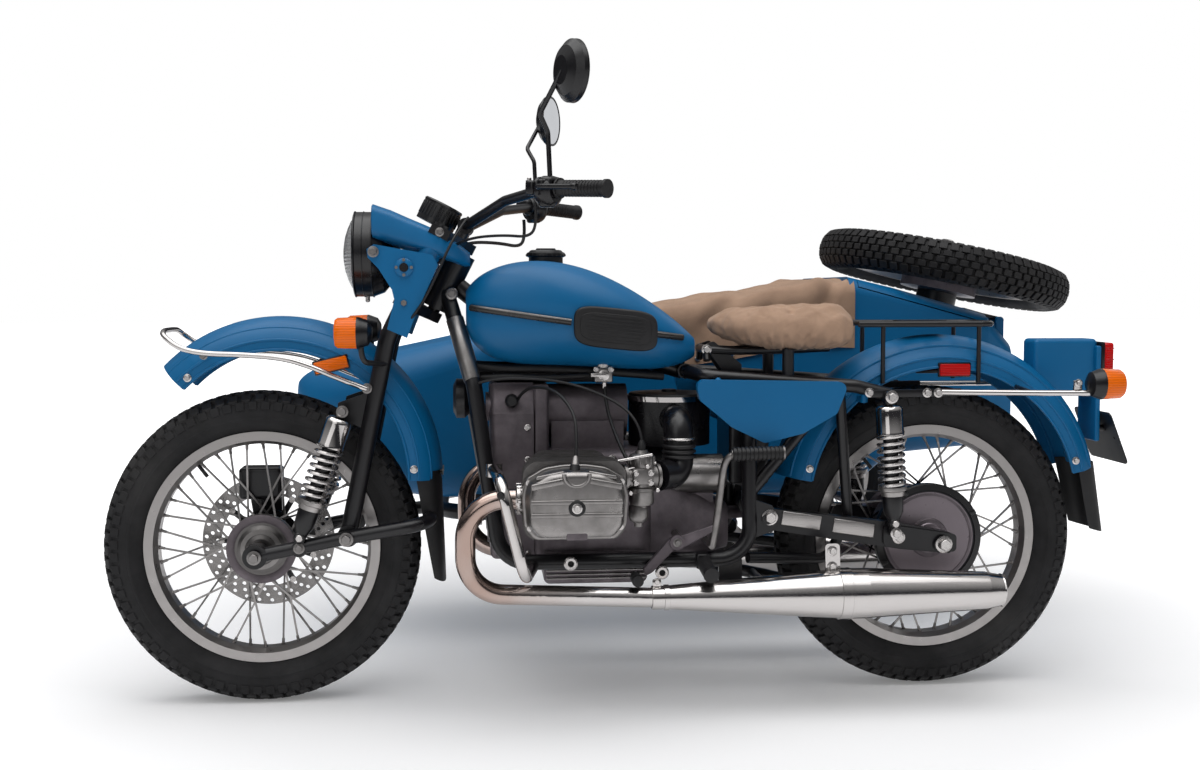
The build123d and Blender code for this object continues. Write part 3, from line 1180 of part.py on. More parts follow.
COVER_REAR_X = COCKPIT_REAR_X - 8
with BuildPart() as cockpit_cover:
    add(tub_loft(BODY_SECTIONS[:2], -COVER_CLEARANCE - COVER_CLOTH, False))
    add(tub_loft(BODY_SECTIONS[:2], -COVER_CLEARANCE, False), mode=Mode.SUBTRACT)
    with BuildSketch(Plane.XZ.offset(-TUB_Y - 400)):
        with BuildLine():
            Polyline((COCKPIT_FRONT_X - 1, 1200), (COCKPIT_FRONT_X - 1, 770), (820, 736), (472, 716), (COCKPIT_REAR_X + 2, 744), (COCKPIT_REAR_X + 2, 1200), close=True)
        make_face()
    extrude(amount=800, mode=Mode.INTERSECT)
keep("cockpit_cover", cockpit_cover.part)

# Sidecar chassis under the tub, with its joints and struts to the motorcycle
SIDECAR_ARM_Y = -1034.0
SIDECAR_PIVOT_X = 392.0
UPRIGHT_X = 176.0
UPRIGHT_Y = -986.0
FRONT_TIE_X = 985.0
REAR_TIE_X = 404.0
rails = bent_tube(
    [
        (120, CHASSIS_INNER_Y, CHASSIS_Z), (1120, CHASSIS_INNER_Y, CHASSIS_Z), (1120, CHASSIS_OUTER_Y, CHASSIS_Z),
        (120, CHASSIS_OUTER_Y, CHASSIS_Z),
    ], CHASSIS_TUBE, 110,
)
upright = bent_tube(
    [(UPRIGHT_X, CHASSIS_OUTER_Y, CHASSIS_Z), (UPRIGHT_X, UPRIGHT_Y, CHASSIS_Z), (UPRIGHT_X, UPRIGHT_Y, 724)], 32, 60,
)
front_tie = bent_tube(
    [(FRONT_TIE_X, CHASSIS_INNER_Y, CHASSIS_Z), (FRONT_TIE_X, -230, CHASSIS_Z), (966, -150, 340)], 36, 60,
)
rear_tie = bent_tube(
    [(REAR_TIE_X, CHASSIS_INNER_Y, CHASSIS_Z), (REAR_TIE_X, -230, CHASSIS_Z), (424, -142, 345)], 36, 60,
)
with BuildPart() as sidecar_frame:
    add([rails, upright])
    add(rod((140, CHASSIS_INNER_Y, CHASSIS_Z), (140, CHASSIS_OUTER_Y, CHASSIS_Z), CHASSIS_TUBE))
    add(rod((FRONT_TIE_X, CHASSIS_INNER_Y, CHASSIS_Z), (FRONT_TIE_X, CHASSIS_OUTER_Y, CHASSIS_Z), 34))
    add(rod((REAR_TIE_X, CHASSIS_INNER_Y, CHASSIS_Z), (SIDECAR_PIVOT_X, SIDECAR_ARM_Y - 20, CHASSIS_Z), 38))
    add([front_tie, rear_tie])
    for x in (190, 1020):
        for y in (CHASSIS_INNER_Y, CHASSIS_OUTER_Y + 20):
            add(rod((x, y, CHASSIS_Z), (x, y, 400), 46))
    add([nose, body], mode=Mode.SUBTRACT)
    add(main_frame.part, mode=Mode.SUBTRACT)
    add(rod((REAR_PIVOT_X, -156, REAR_PIVOT_Z), (REAR_PIVOT_X, -90, REAR_PIVOT_Z), 54), mode=Mode.SUBTRACT)

front_strut = rod((1040, -124, 664), (990, -300, CHASSIS_Z + 10), 24)
front_eye = rod((1034, -100, 664), (1044, -150, 664), 40)
rear_strut_bar = rod((362, -128, 540), (REAR_TIE_X, -320, CHASSIS_Z + 10), 24)
rear_eye = rod((362, -112, 540), (362, -150, 540), 40)
with BuildPart() as sidecar_chassis:
    add([sidecar_frame.part, front_strut, front_eye, rear_strut_bar, rear_eye])
    add([main_frame.part, final_drive.part], mode=Mode.SUBTRACT)
keep("sidecar_frame", sidecar_chassis.part)

sidecar_arm_bar = plate([(SIDECAR_PIVOT_X + 26, 322), (SIDECAR_PIVOT_X + 26, 360), (30, 368), (30, 322)], SIDECAR_ARM_Y - 14, SIDECAR_ARM_Y + 14, 8)
with BuildPart() as sidecar_arm:
    add(sidecar_arm_bar)
    add(rod((SIDECAR_LEAD, SIDECAR_ARM_Y + 14, TYRE_RADIUS), (SIDECAR_LEAD, -TRACK - HUB_HALF_LENGTH - 24, TYRE_RADIUS), 2 * AXLE_RADIUS))
    add(rod((SIDECAR_LEAD, SIDECAR_ARM_Y + 16, TYRE_RADIUS), (SIDECAR_LEAD, -TRACK + HUB_HALF_LENGTH + HUB_GAP, TYRE_RADIUS), 2 * SPACER_RADIUS))
    add(rod((SIDECAR_LEAD, -TRACK - HUB_HALF_LENGTH - HUB_GAP, TYRE_RADIUS), (SIDECAR_LEAD, -TRACK - HUB_HALF_LENGTH - 24, TYRE_RADIUS), 32))
    add(rod((110, SIDECAR_ARM_Y, 352), (110, SIDECAR_ARM_Y, 386), 22))
    add(sidecar_frame.part, mode=Mode.SUBTRACT)
with BuildPart() as swing_arms:
    add([rear_arm.part, sidecar_arm.part])
keep("swing_arms", swing_arms.part)

with BuildPart() as sidecar_shock:
    add(shock((118, SIDECAR_ARM_Y + 14, 676), (110, SIDECAR_ARM_Y, 386.5)))
    add(rod((112, SIDECAR_ARM_Y + 14, 676), (UPRIGHT_X, UPRIGHT_Y, 676), 20))
    add([sidecar_frame.part, sidecar_arm.part], mode=Mode.SUBTRACT)
with BuildPart() as shocks:
    add([rear_shocks.part, sidecar_shock.part])
keep("rear_shocks", shocks.part)

with BuildPart() as cross_shaft:
    start = Vector(0, DRIVE_Y - 56, TYRE_RADIUS)
    end = Vector(SIDECAR_LEAD - 4, SIDECAR_ARM_Y + 16.5, TYRE_RADIUS)
    add(turned(start, end, ((0, 22), (0.06, 22), (0.08, 14), (0.92, 14), (0.94, 22), (1, 22))))
    add(sidecar_arm.part, mode=Mode.SUBTRACT)
with BuildPart() as drive:
    add([final_drive.part, cross_shaft.part])
keep("final_drive", drive.part)

# Sidecar fender with its lamps
sidecar_arch = fender(SIDECAR_LEAD - 12, 426, REAR_FENDER_RADIUS, FENDER_HALF_WIDTH + 8, 72, 80)
sidecar_arch = sidecar_arch.moved(Location((0, -TRACK, 0)))
arch_y = -TRACK + FENDER_HALF_WIDTH + 8
with BuildPart() as sidecar_fender:
    add(sidecar_arch)
    add(rod((UPRIGHT_X, UPRIGHT_Y - 16.5, 712), (UPRIGHT_X, arch_y - 1, 718), 18))
    add(sidecar_frame.part, mode=Mode.SUBTRACT)
keep("sidecar_fender", sidecar_fender.part)

with BuildPart() as sidecar_lamps:
    for x, facing in ((190, 1), (-180, -1)):
        base = Vector(x, -TRACK, 788)
        add(turned(base, base + Vector(facing * 52, 0, 0), ((0, 14), (0.2, 27), (0.7, 28), (0.94, 24), (1, 12))))
        add(rod(base + Vector(facing * 14, 0, 0), base + Vector(facing * 14, 0, -60), 18))
    with Locations((SIDECAR_LEAD - 12, -TRACK, 426)):
        Cylinder(REAR_FENDER_RADIUS + 0.4, 300, rotation=(90, 0, 0), mode=Mode.SUBTRACT)
    add(tail_lamp.part)
keep("lamps", sidecar_lamps.part)

# Trunk hinge, and the spare wheel's carrier on the lid
HINGE_PIN_RADIUS = 4.0
HINGE_KNUCKLE_RADIUS = 10.0
HINGE_X = -374.0
HINGE_Z = 828.0
HINGE_REACH = 150.0
hinge_pin = []
hinge_barrel = []
for side in (1, -1):
    y = TUB_Y + side * HINGE_REACH
    hinge_pin.append(rod((HINGE_X, y - 36, HINGE_Z), (HINGE_X, y + 36, HINGE_Z), 2 * HINGE_PIN_RADIUS))
    for end in (-1, 1):
        foot = block((HINGE_X - 10, HINGE_X + 10), (y + end * 31 - 6, y + end * 31 + 6), (HINGE_Z - 46, HINGE_Z))
        hinge_pin.append(foot)
        hinge_pin.append(rod((HINGE_X, y + end * 25, HINGE_Z), (HINGE_X, y + end * 37, HINGE_Z), 2 * HINGE_KNUCKLE_RADIUS))
    hinge_barrel.append(rod((HINGE_X, y - 20, HINGE_Z), (HINGE_X, y + 20, HINGE_Z), 2 * HINGE_KNUCKLE_RADIUS))
    leaf = plate([(HINGE_X, HINGE_Z + 10), (HINGE_X, HINGE_Z + 4), (-330, 838), (-280, 852), (-280, 862), (-330, 848)], y - 20, y + 20)
    hinge_barrel.append(leaf)
with BuildPart() as hinged_tub:
    add([tub.part, *hinge_pin])
keep("sidecar_tub", hinged_tub.part)

spare_axis = Vector(sin(radians(-SPARE_TILT)), 0, cos(radians(SPARE_TILT)))
spare_mid = Vector(SPARE_CENTRE)
with BuildPart() as spare_carrier:
    add(rod(spare_mid - spare_axis * (HUB_HALF_LENGTH + 0.5), spare_mid - spare_axis * 150, 110))
    add(hinge_barrel)
    add(body, mode=Mode.SUBTRACT)
    add(rod(spare_mid - spare_axis * 70, spare_mid + spare_axis * (HUB_HALF_LENGTH + 20), 2 * AXLE_RADIUS))
    add(rod(spare_mid + spare_axis * (HUB_HALF_LENGTH + 0.5), spare_mid + spare_axis * (HUB_HALF_LENGTH + 16), 46))
    for side in (1, -1):
        y = TUB_Y + side * HINGE_REACH
        add(rod((HINGE_X, y - 60, HINGE_Z), (HINGE_X, y + 60, HINGE_Z), 2 * (HINGE_PIN_RADIUS + RUNNING_CLEARANCE)), mode=Mode.SUBTRACT)
keep("spare_carrier", spare_carrier.part)

with BuildPart() as horn:
    add(turned((1040, 0, 668), (1076, 0, 668), ((0, 34), (0.3, 44), (0.8, 44), (1, 30))))
    add(rod((1044, 0, 664), (1018, 0, 640), 16))
with BuildPart() as frame_fittings:
    add([horn.part, stand_mount.part, battery_box.part])
    add(main_frame.part, mode=Mode.SUBTRACT)
keep("frame_fittings", frame_fittings.part)

# All pieces move together, so that the origin is under the middle of the whole vehicle
boxes = [solid.bounding_box() for solid in pieces.values()]
low_x, high_x = min(box.min.X for box in boxes), max(box.max.X for box in boxes)
low_y, high_y = min(box.min.Y for box in boxes), max(box.max.Y for box in boxes)
low_z = min(box.min.Z for box in boxes)
to_middle = Location((-(low_x + high_x) / 2, -(low_y + high_y) / 2, -low_z))
os.makedirs("parts", exist_ok=True)
for name, solid in pieces.items():
    placed = solid.moved(to_middle)
    placed.label = name
    export_step(placed, f"parts/{name}.step")
print("moved by", to_middle.position)
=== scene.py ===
"""Looks of a boxer motorcycle with a sidecar: finishes, tyres, canvas, lamps, levers, cables and bolts."""

import math
from contextlib import contextmanager

import bmesh
import bpy
from bpy.props import FloatProperty, FloatVectorProperty, IntProperty, PointerProperty
from mathutils import Matrix, Vector, noise
from mathutils.bvhtree import BVHTree


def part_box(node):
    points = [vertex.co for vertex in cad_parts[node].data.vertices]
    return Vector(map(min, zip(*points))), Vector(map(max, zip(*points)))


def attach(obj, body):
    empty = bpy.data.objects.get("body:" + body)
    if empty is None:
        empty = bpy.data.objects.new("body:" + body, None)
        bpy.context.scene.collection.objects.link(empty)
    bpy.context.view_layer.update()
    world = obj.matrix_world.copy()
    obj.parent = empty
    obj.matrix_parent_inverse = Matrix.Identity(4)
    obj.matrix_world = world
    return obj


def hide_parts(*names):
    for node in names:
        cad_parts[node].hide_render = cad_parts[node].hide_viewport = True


bl_info = {
    "name": "Sidecar motorcycle finish",
    "version": (1, 0, 0),
    "blender": (4, 5, 0),
    "location": "3D View > Sidebar > Sidecar",
    "description": "Finishes and details of a boxer motorcycle with its sidecar",
    "category": "Object",
}

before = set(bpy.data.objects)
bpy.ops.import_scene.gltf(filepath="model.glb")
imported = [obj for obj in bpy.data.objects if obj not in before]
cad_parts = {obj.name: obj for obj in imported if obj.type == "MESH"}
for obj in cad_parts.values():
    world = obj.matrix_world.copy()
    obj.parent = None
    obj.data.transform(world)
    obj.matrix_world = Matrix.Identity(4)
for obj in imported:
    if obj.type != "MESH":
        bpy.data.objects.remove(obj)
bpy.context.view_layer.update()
MM = 0.001
REAR_TYRE_LOW, REAR_TYRE_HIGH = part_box("rear_tyre")
REAR_AXLE = (REAR_TYRE_LOW + REAR_TYRE_HIGH) / 2
GROUND = Vector((REAR_AXLE.x, REAR_AXLE.y, 0.0))
LEFT = Vector((0, 1, 0))
UP = Vector((0, 0, 1))
AHEAD = Vector((1, 0, 0))
SIDES = (1, -1)
HEADS = ((828, 1), (792, -1))
SIDECAR_Y = -680
RAKE = math.radians(27)
STEERING_HEAD = Vector((1085, 0, 930))
STEERING_AXIS = Vector((-math.sin(RAKE), 0, math.cos(RAKE)))
STEERING_AHEAD = Vector((math.cos(RAKE), 0, math.sin(RAKE)))
SPARE_TILT = math.radians(-12)
WHEELS = {
    "front": ((1495, 0, 345), "front_wheel_set"),
    "rear": ((0, 0, 345), "rear_wheel_set"),
    "sidecar": ((60, -1130, 345), "sidecar_wheel_set"),
    "spare": ((-276, -680, 964), "trunk"),
}


def at(x, y, z):
    """A place on the motorcycle: millimetres ahead of, left of and above the ground under the rear axle."""
    return GROUND + Vector((x, y, z)) * MM


def on_steering(along, across, ahead):
    """A place by the steering head: millimetres up its axis, to the left of it and square ahead of it."""
    return at(*(STEERING_HEAD + STEERING_AXIS * along + LEFT * across + STEERING_AHEAD * ahead))


def mirrored(points):
    """The same points on the other side of the motorcycle."""
    return [(x, -y, z) for x, y, z in points]


def stood(x, y, z):
    """A matrix that stands a shape at a place, unturned."""
    return Matrix.Translation(at(x, y, z))


def moved(x, y, z):
    """A matrix that moves a shape by metres."""
    return Matrix.Translation((x, y, z))


def srgb(red, green, blue):
    """Screen values from 0 to 255 as linear values."""
    shares = [value / 255 for value in (red, green, blue)]
    return tuple(s / 12.92 if s <= 0.04045 else ((s + 0.055) / 1.055) ** 2.4 for s in shares)


class FinishSettings(bpy.types.PropertyGroup):
    """Colours of the painted, woven, moulded and metal surfaces."""

    body_blue: FloatVectorProperty(
        name="Body blue", description="Satin paint of tank, fenders and sidecar", subtype="COLOR",
        default=srgb(3, 100, 152))
    canvas_tan: FloatVectorProperty(
        name="Canvas tan", description="Woven cover of saddle and cockpit", subtype="COLOR",
        default=srgb(174, 142, 118))
    frame_black: FloatVectorProperty(
        name="Frame black", description="Enamel of frame, fork and arms", subtype="COLOR",
        default=srgb(17, 16, 20))
    case_grey: FloatVectorProperty(
        name="Case grey", description="Blasted castings of the engine", subtype="COLOR",
        default=srgb(114, 106, 111))
    aluminium: FloatVectorProperty(
        name="Cast aluminium", description="Bare castings and rims", subtype="COLOR",
        default=srgb(186, 182, 180))
    steel: FloatVectorProperty(
        name="Bright steel", description="Chrome and stainless pieces", subtype="COLOR",
        default=srgb(214, 210, 208))
    bronze: FloatVectorProperty(
        name="Heat bronze", description="Heat tint of the header pipes", subtype="COLOR",
        default=srgb(156, 112, 88))
    rubber: FloatVectorProperty(
        name="Rubber", description="Tyres, flaps and grips", subtype="COLOR", default=srgb(16, 15, 18))
    amber: FloatVectorProperty(
        name="Amber lens", description="Turn lamps", subtype="COLOR", default=srgb(246, 112, 2))
    red: FloatVectorProperty(
        name="Red lens", description="Tail lamps", subtype="COLOR", default=srgb(196, 7, 9))


class SizeSettings(bpy.types.PropertyGroup):
    """Sizes of the repeated details."""

    tread_blocks: IntProperty(
        name="Tread blocks", description="Blocks round one row of a tyre", default=72, min=24, max=120)
    tread_share: FloatProperty(
        name="Block share", description="Share of the pitch that a block fills", subtype="FACTOR",
        default=0.72, min=0.4, max=0.9)
    spring_turns: IntProperty(
        name="Spring turns", description="Turns of each shock absorber's spring", default=8, min=4, max=14)
    spring_wire: FloatProperty(
        name="Spring wire", description="Radius of the spring wire", unit="LENGTH", default=0.0043)
    bolt_width: FloatProperty(
        name="Bolt width", description="Width across the flats of a common bolt", unit="LENGTH",
        default=0.013)
    bead_radius: FloatProperty(
        name="Fender bead", description="Radius of the raised lines on the fenders", unit="LENGTH",
        default=0.0036)
    canvas_swell: FloatProperty(
        name="Canvas swell", description="Furthest that the saddle's cover swells", unit="LENGTH",
        default=0.010)


class StageSettings(bpy.types.PropertyGroup):
    """Camera and light of the studio."""

    lens: FloatProperty(
        name="Lens", description="Focal length of the camera", subtype="DISTANCE_CAMERA", default=41.41)
    floor_tone: FloatVectorProperty(
        name="Floor", description="Pale studio floor", subtype="COLOR", default=(0.86, 0.86, 0.87))
    floor_glow: FloatProperty(
        name="Floor glow", description="Own light of the studio floor", default=0.17, min=0.0)
    key_power: FloatProperty(
        name="Key power", description="Power of the overhead soft box", unit="POWER", default=44.0)
    fill_power: FloatProperty(
        name="Fill power", description="Power of the soft box beside the camera", unit="POWER", default=12.0)
    ceiling_strength: FloatProperty(
        name="Ceiling strength", description="Strength of the wide light from the ceiling",
        default=1.05, min=0.0)


def facing(spot, direction):
    """A matrix that stands local Z along a direction at a spot."""
    return Matrix.Translation(spot) @ Vector(direction).to_track_quat("Z", "Y").to_matrix().to_4x4()


def outward(x, y, z, side=1):
    """A matrix with local X ahead, local Y up and local Z pointing out of that side of the motorcycle."""
    return stood(x, y, z) @ Matrix.Rotation(math.pi / 2, 4, "X") @ Matrix.Diagonal((1, 1, -side, 1))


def wheel_place(name):
    """A matrix in which a wheel's axle is local Z, and local X is its zero angle."""
    spot, _ = WHEELS[name]
    lie = Matrix.Identity(4)
    if name == "spare":
        lie = Matrix.Rotation(SPARE_TILT, 4, "Y") @ Matrix.Rotation(math.pi / 2, 4, "X")
    return stood(*spot) @ lie @ Matrix.Rotation(-math.pi / 2, 4, "X")


@contextmanager
def shape(bm, place=None, finish=0, smooth=True):
    """Models one shape in its own space and then sets it into the piece."""
    part = bmesh.new()
    yield part
    bmesh.ops.remove_doubles(part, verts=part.verts[:], dist=1e-6)
    bmesh.ops.recalc_face_normals(part, faces=part.faces[:])
    for face in part.faces:
        face.material_index = finish
        face.smooth = smooth
    if place is not None:
        bmesh.ops.transform(part, matrix=place, verts=part.verts[:])
        if place.determinant() < 0:
            bmesh.ops.reverse_faces(part, faces=part.faces[:])
    mesh = bpy.data.meshes.new("shape")
    part.to_mesh(mesh)
    part.free()
    bm.from_mesh(mesh)
    bpy.data.meshes.remove(mesh)


def soften(part, geom, offset, segments, affect="EDGES"):
    """Rounds edges or corners of a shape by an offset in metres."""
    bmesh.ops.bevel(part, geom=geom, offset=offset, segments=segments, profile=0.5, affect=affect,
                    material=-1)


def spin_all(part, angle, steps, **extra):
    """Turns all of a shape about local Z."""
    bmesh.ops.spin(
        part, geom=part.verts[:] + part.edges[:] + part.faces[:], cent=(0, 0, 0), axis=(0, 0, 1), angle=angle,
        steps=steps, **extra)


def draw_out(part, depth):
    """Draws all faces of a shape out along local Z and gives the new corners."""
    grown = bmesh.ops.extrude_face_region(part, geom=part.faces[:])
    top = [item for item in grown["geom"] if isinstance(item, bmesh.types.BMVert)]
    bmesh.ops.translate(part, verts=top, vec=(0, 0, depth * MM))
    return top


def lathe(bm, place, profile, steps=32, finish=0, closed=False):
    """A turned shape from radius and height pairs in millimetres, about local Z."""
    with shape(bm, place, finish) as part:
        line = [part.verts.new((radius * MM, 0, height * MM)) for radius, height in profile]
        edges = [part.edges.new(pair) for pair in zip(line, line[1:])]
        if closed:
            edges.append(part.edges.new((line[-1], line[0])))
        bmesh.ops.spin(
            part, geom=line + edges, cent=(0, 0, 0), axis=(0, 0, 1), angle=math.tau, steps=steps,
            use_merge=True)


def bar(bm, start, end, radius, finish=0, edge=0.6, sides=20):
    """A round bar between two places, with softened ends."""
    length = (end - start).length / MM
    profile = [(0, 0), (radius - edge, 0), (radius, edge), (radius, length - edge), (radius - edge, length),
               (0, length)]
    lathe(bm, facing(start, end - start), profile, sides, finish)


def slab(bm, place, size, edge, finish=0, segments=2):
    """A block of a size in millimetres about its place, with rounded edges."""
    with shape(bm, place, finish) as part:
        bmesh.ops.create_cube(part, size=1.0, matrix=Matrix.Diagonal((*(side * MM for side in size), 1)))
        soften(part, part.edges[:], edge * MM, segments)


def prism(bm, place, outline, depth, corner=0.0, edge=0.0, taper=1.0, finish=0, segments=3):
    """An outline in millimetres, rounded at its corners and drawn out along local Z."""
    with shape(bm, place, finish) as part:
        ring = [part.verts.new((x * MM, y * MM, 0)) for x, y in outline]
        part.faces.new(ring)
        if corner:
            soften(part, ring, corner * MM, 5, "VERTICES")
        top = draw_out(part, depth)
        bmesh.ops.scale(part, verts=top, vec=(taper, taper, 1))
        if edge:
            lid = [item for item in part.edges if all(vert in set(top) for vert in item.verts)]
            soften(part, lid, edge * MM, segments)


def hoop(bm, place, radius, thickness, finish=0, start=0.0, sweep=360.0, steps=64, sides=10):
    """A round wire bent about local Z, from a start angle through a sweep in degrees."""
    whole = sweep >= 360
    with shape(bm, place, finish) as part:
        stand = moved(radius * MM, 0, 0) @ Matrix.Rotation(math.pi / 2, 4, "X")
        bmesh.ops.create_circle(
            part, segments=sides, radius=thickness * MM, cap_ends=not whole,
            matrix=Matrix.Rotation(math.radians(start), 4, "Z") @ stand)
        spin_all(part, math.radians(sweep), steps, use_merge=whole)


def ring_skin(bm, rings, y_mid, flatten, finish=0, sides=28):
    """A closed skin through upright rings of x, width, low and high; flatten squares the rings."""
    with shape(bm, None, finish) as part:
        loops = []
        for x, width, low, high in rings:
            mid = at(x, y_mid, (low + high) / 2)
            made = bmesh.ops.create_circle(part, segments=sides, radius=1.0,
                                           matrix=Matrix.Rotation(math.pi / 2, 4, "Y"))
            for vert in made["verts"]:
                across, height = vert.co.y, vert.co.z
                vert.co = mid + Vector((
                    0, math.copysign(abs(across) ** flatten, across) * width * MM / 2,
                    math.copysign(abs(height) ** flatten, height) * (high - low) * MM / 2))
            loops.append(list({edge for vert in made["verts"] for edge in vert.link_edges}))
        for first, second in zip(loops, loops[1:]):
            bmesh.ops.bridge_loops(part, edges=first + second)
        bmesh.ops.holes_fill(part, edges=part.edges[:], sides=0)


def bolt(bm, spot, direction, width=None, finish=0):
    """A hexagon bolt head on its washer."""
    width = width or bpy.context.scene.sidecar_sizes.bolt_width / MM
    place = facing(spot, direction)
    lathe(bm, place, [(0, -1), (0.8 * width, -1), (0.8 * width, 1.2), (0.7 * width, 1.8),
                      (0, 1.8)], 16, finish)
    with shape(bm, place @ moved(0, 0, (1.8 + 0.27 * width) * MM), finish) as part:
        bmesh.ops.create_cone(
            part, cap_ends=True, segments=6, radius1=0.577 * width * MM, radius2=0.577 * width * MM,
            depth=0.55 * width * MM)
        soften(part, part.edges[:], 0.06 * width * MM, 1)


def spline_curve(name, points, diameter, cyclic=False):
    """A curve object with one NURBS spline through the points' run."""
    curve = bpy.data.curves.new(name, "CURVE")
    curve.dimensions = "3D"
    curve.resolution_u = 10
    curve.bevel_depth = diameter / 2
    curve.bevel_resolution = 3
    curve.use_fill_caps = not cyclic
    spline = curve.splines.new("NURBS")
    spline.points.add(len(points) - 1)
    for point, spot in zip(spline.points, points):
        point.co = (*spot, 1.0)
    spline.order_u = 3
    spline.use_endpoint_u = not cyclic
    spline.use_cyclic_u = cyclic
    thing = bpy.data.objects.new(name, curve)
    bpy.context.scene.collection.objects.link(thing)
    return thing


def tube(bm, points, diameter, finish=0):
    """A bent tube set into a piece, along a smooth line near its points in millimetres."""
    thing = spline_curve("tube", [at(*point) for point in points], diameter * MM)
    bpy.context.view_layer.update()
    mesh = bpy.data.meshes.new_from_object(thing.evaluated_get(bpy.context.evaluated_depsgraph_get()))
    bpy.data.objects.remove(thing)
    with shape(bm, None, finish) as part:
        part.from_mesh(mesh)
    bpy.data.meshes.remove(mesh)


def piece(name, bm, body, finishes, replaces=(), angle=38.0):
    """Makes a modelled piece an object that rides on a body."""
    mesh = bpy.data.meshes.new(name)
    bm.to_mesh(mesh)
    bm.free()
    for label in finishes:
        mesh.materials.append(finish(label))
    mesh.set_sharp_from_angle(angle=math.radians(angle))
    thing = bpy.data.objects.new(name, mesh)
    bpy.context.scene.collection.objects.link(thing)
    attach(thing, body)
    if replaces:
        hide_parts(*replaces)
    return thing


def surface_ray(node, start, direction):
    """Where a ray from outside meets a node's skin."""
    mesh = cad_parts[node].data
    tree = BVHTree.FromPolygons([v.co for v in mesh.vertices], [p.vertices for p in mesh.polygons])
    spot, normal, _, _ = tree.ray_cast(start, direction)
    if spot is None:
        raise RuntimeError(f"no skin of {node} under that point")
    return spot, normal


# Finishes

def new_group(name, inputs, outputs):
    """An empty shader group with its named sockets, its input node and its output node."""
    tree = bpy.data.node_groups.new(name, "ShaderNodeTree")
    for label, kind, value in inputs:
        socket = tree.interface.new_socket(name=label, in_out="INPUT", socket_type=kind)
        socket.default_value = value
    for label, kind in outputs:
        tree.interface.new_socket(name=label, in_out="OUTPUT", socket_type=kind)
    return tree, tree.nodes.new("NodeGroupInput"), tree.nodes.new("NodeGroupOutput")


def add_node(tree, kind, **values):
    """A node with its plain settings; socket values go by socket name."""
    node = tree.nodes.new(kind)
    for label, value in values.items():
        if hasattr(node, label):
            setattr(node, label, value)
        else:
            node.inputs[label.replace("_", " ").title()].default_value = value
    return node


def mix_colours(tree, factor, first, second):
    """A colour mix. Each of the three is a socket, or a value for its socket."""
    node = add_node(tree, "ShaderNodeMix", data_type="RGBA")
    for index, source in ((0, factor), (6, first), (7, second)):
        if isinstance(source, bpy.types.NodeSocket):
            tree.links.new(source, node.inputs[index])
        else:
            node.inputs[index].default_value = source
    return node.outputs[2]


def map_range(tree, value, low, high, to_low, to_high):
    """A clamped change of range. The range's ends are sockets or values."""
    node = tree.nodes.new("ShaderNodeMapRange")
    for index, source in ((0, value), (1, low), (2, high), (3, to_low), (4, to_high)):
        if isinstance(source, bpy.types.NodeSocket):
            tree.links.new(source, node.inputs[index])
        else:
            node.inputs[index].default_value = source
    return node.outputs[0]


def worn_surface():
    """Group: patchy colour and roughness with a fine grain, on Object coordinates."""
    if "worn_surface" in bpy.data.node_groups:
        return bpy.data.node_groups["worn_surface"]
    tree, entry, leave = new_group(
        "worn_surface",
        (("Light", "NodeSocketColor", (1, 1, 1, 1)), ("Dark", "NodeSocketColor", (0, 0, 0, 1)),
         ("Patch Scale", "NodeSocketFloat", 6.0), ("Grain Scale", "NodeSocketFloat", 900.0),
         ("Rough Low", "NodeSocketFloat", 0.3), ("Rough High", "NodeSocketFloat", 0.5)),
        (("Color", "NodeSocketColor"), ("Roughness", "NodeSocketFloat"), ("Height", "NodeSocketFloat")))
    where = tree.nodes.new("ShaderNodeTexCoord").outputs["Object"]
    patch = add_node(tree, "ShaderNodeTexNoise", Detail=5.0, Roughness=0.6)
    grain = add_node(tree, "ShaderNodeTexNoise", Detail=2.0)
    for node, label in ((patch, "Patch Scale"), (grain, "Grain Scale")):
        tree.links.new(where, node.inputs["Vector"])
        tree.links.new(entry.outputs[label], node.inputs["Scale"])
    spread = map_range(tree, patch.outputs[0], 0.32, 0.68, 0.0, 1.0)
    tree.links.new(mix_colours(tree, spread, entry.outputs["Light"], entry.outputs["Dark"]),
                   leave.inputs["Color"])
    rough = map_range(tree, patch.outputs[0], 0.3, 0.7, entry.outputs["Rough Low"],
                      entry.outputs["Rough High"])
    tree.links.new(rough, leave.inputs["Roughness"])
    tree.links.new(grain.outputs[0], leave.inputs["Height"])
    return tree


def brushed_metal():
    """Group: long fine scratches, stretched by a vector."""
    if "brushed_metal" in bpy.data.node_groups:
        return bpy.data.node_groups["brushed_metal"]
    tree, entry, leave = new_group(
        "brushed_metal",
        (("Stretch", "NodeSocketVector", (4, 400, 400)), ("Rough Low", "NodeSocketFloat", 0.15),
         ("Rough High", "NodeSocketFloat", 0.35)),
        (("Roughness", "NodeSocketFloat"), ("Height", "NodeSocketFloat"), ("Streak", "NodeSocketFloat")))
    where = tree.nodes.new("ShaderNodeTexCoord").outputs["Object"]
    stretch = add_node(tree, "ShaderNodeVectorMath", operation="MULTIPLY")
    tree.links.new(where, stretch.inputs[0])
    tree.links.new(entry.outputs["Stretch"], stretch.inputs[1])
    streak = add_node(tree, "ShaderNodeTexNoise", Scale=1.0, Detail=4.0, Roughness=0.7)
    tree.links.new(stretch.outputs[0], streak.inputs["Vector"])
    rough = map_range(tree, streak.outputs[0], 0.3, 0.7, entry.outputs["Rough Low"],
                      entry.outputs["Rough High"])
    tree.links.new(rough, leave.inputs["Roughness"])
    tree.links.new(streak.outputs[0], leave.inputs["Height"])
    tree.links.new(streak.outputs[0], leave.inputs["Streak"])
    return tree


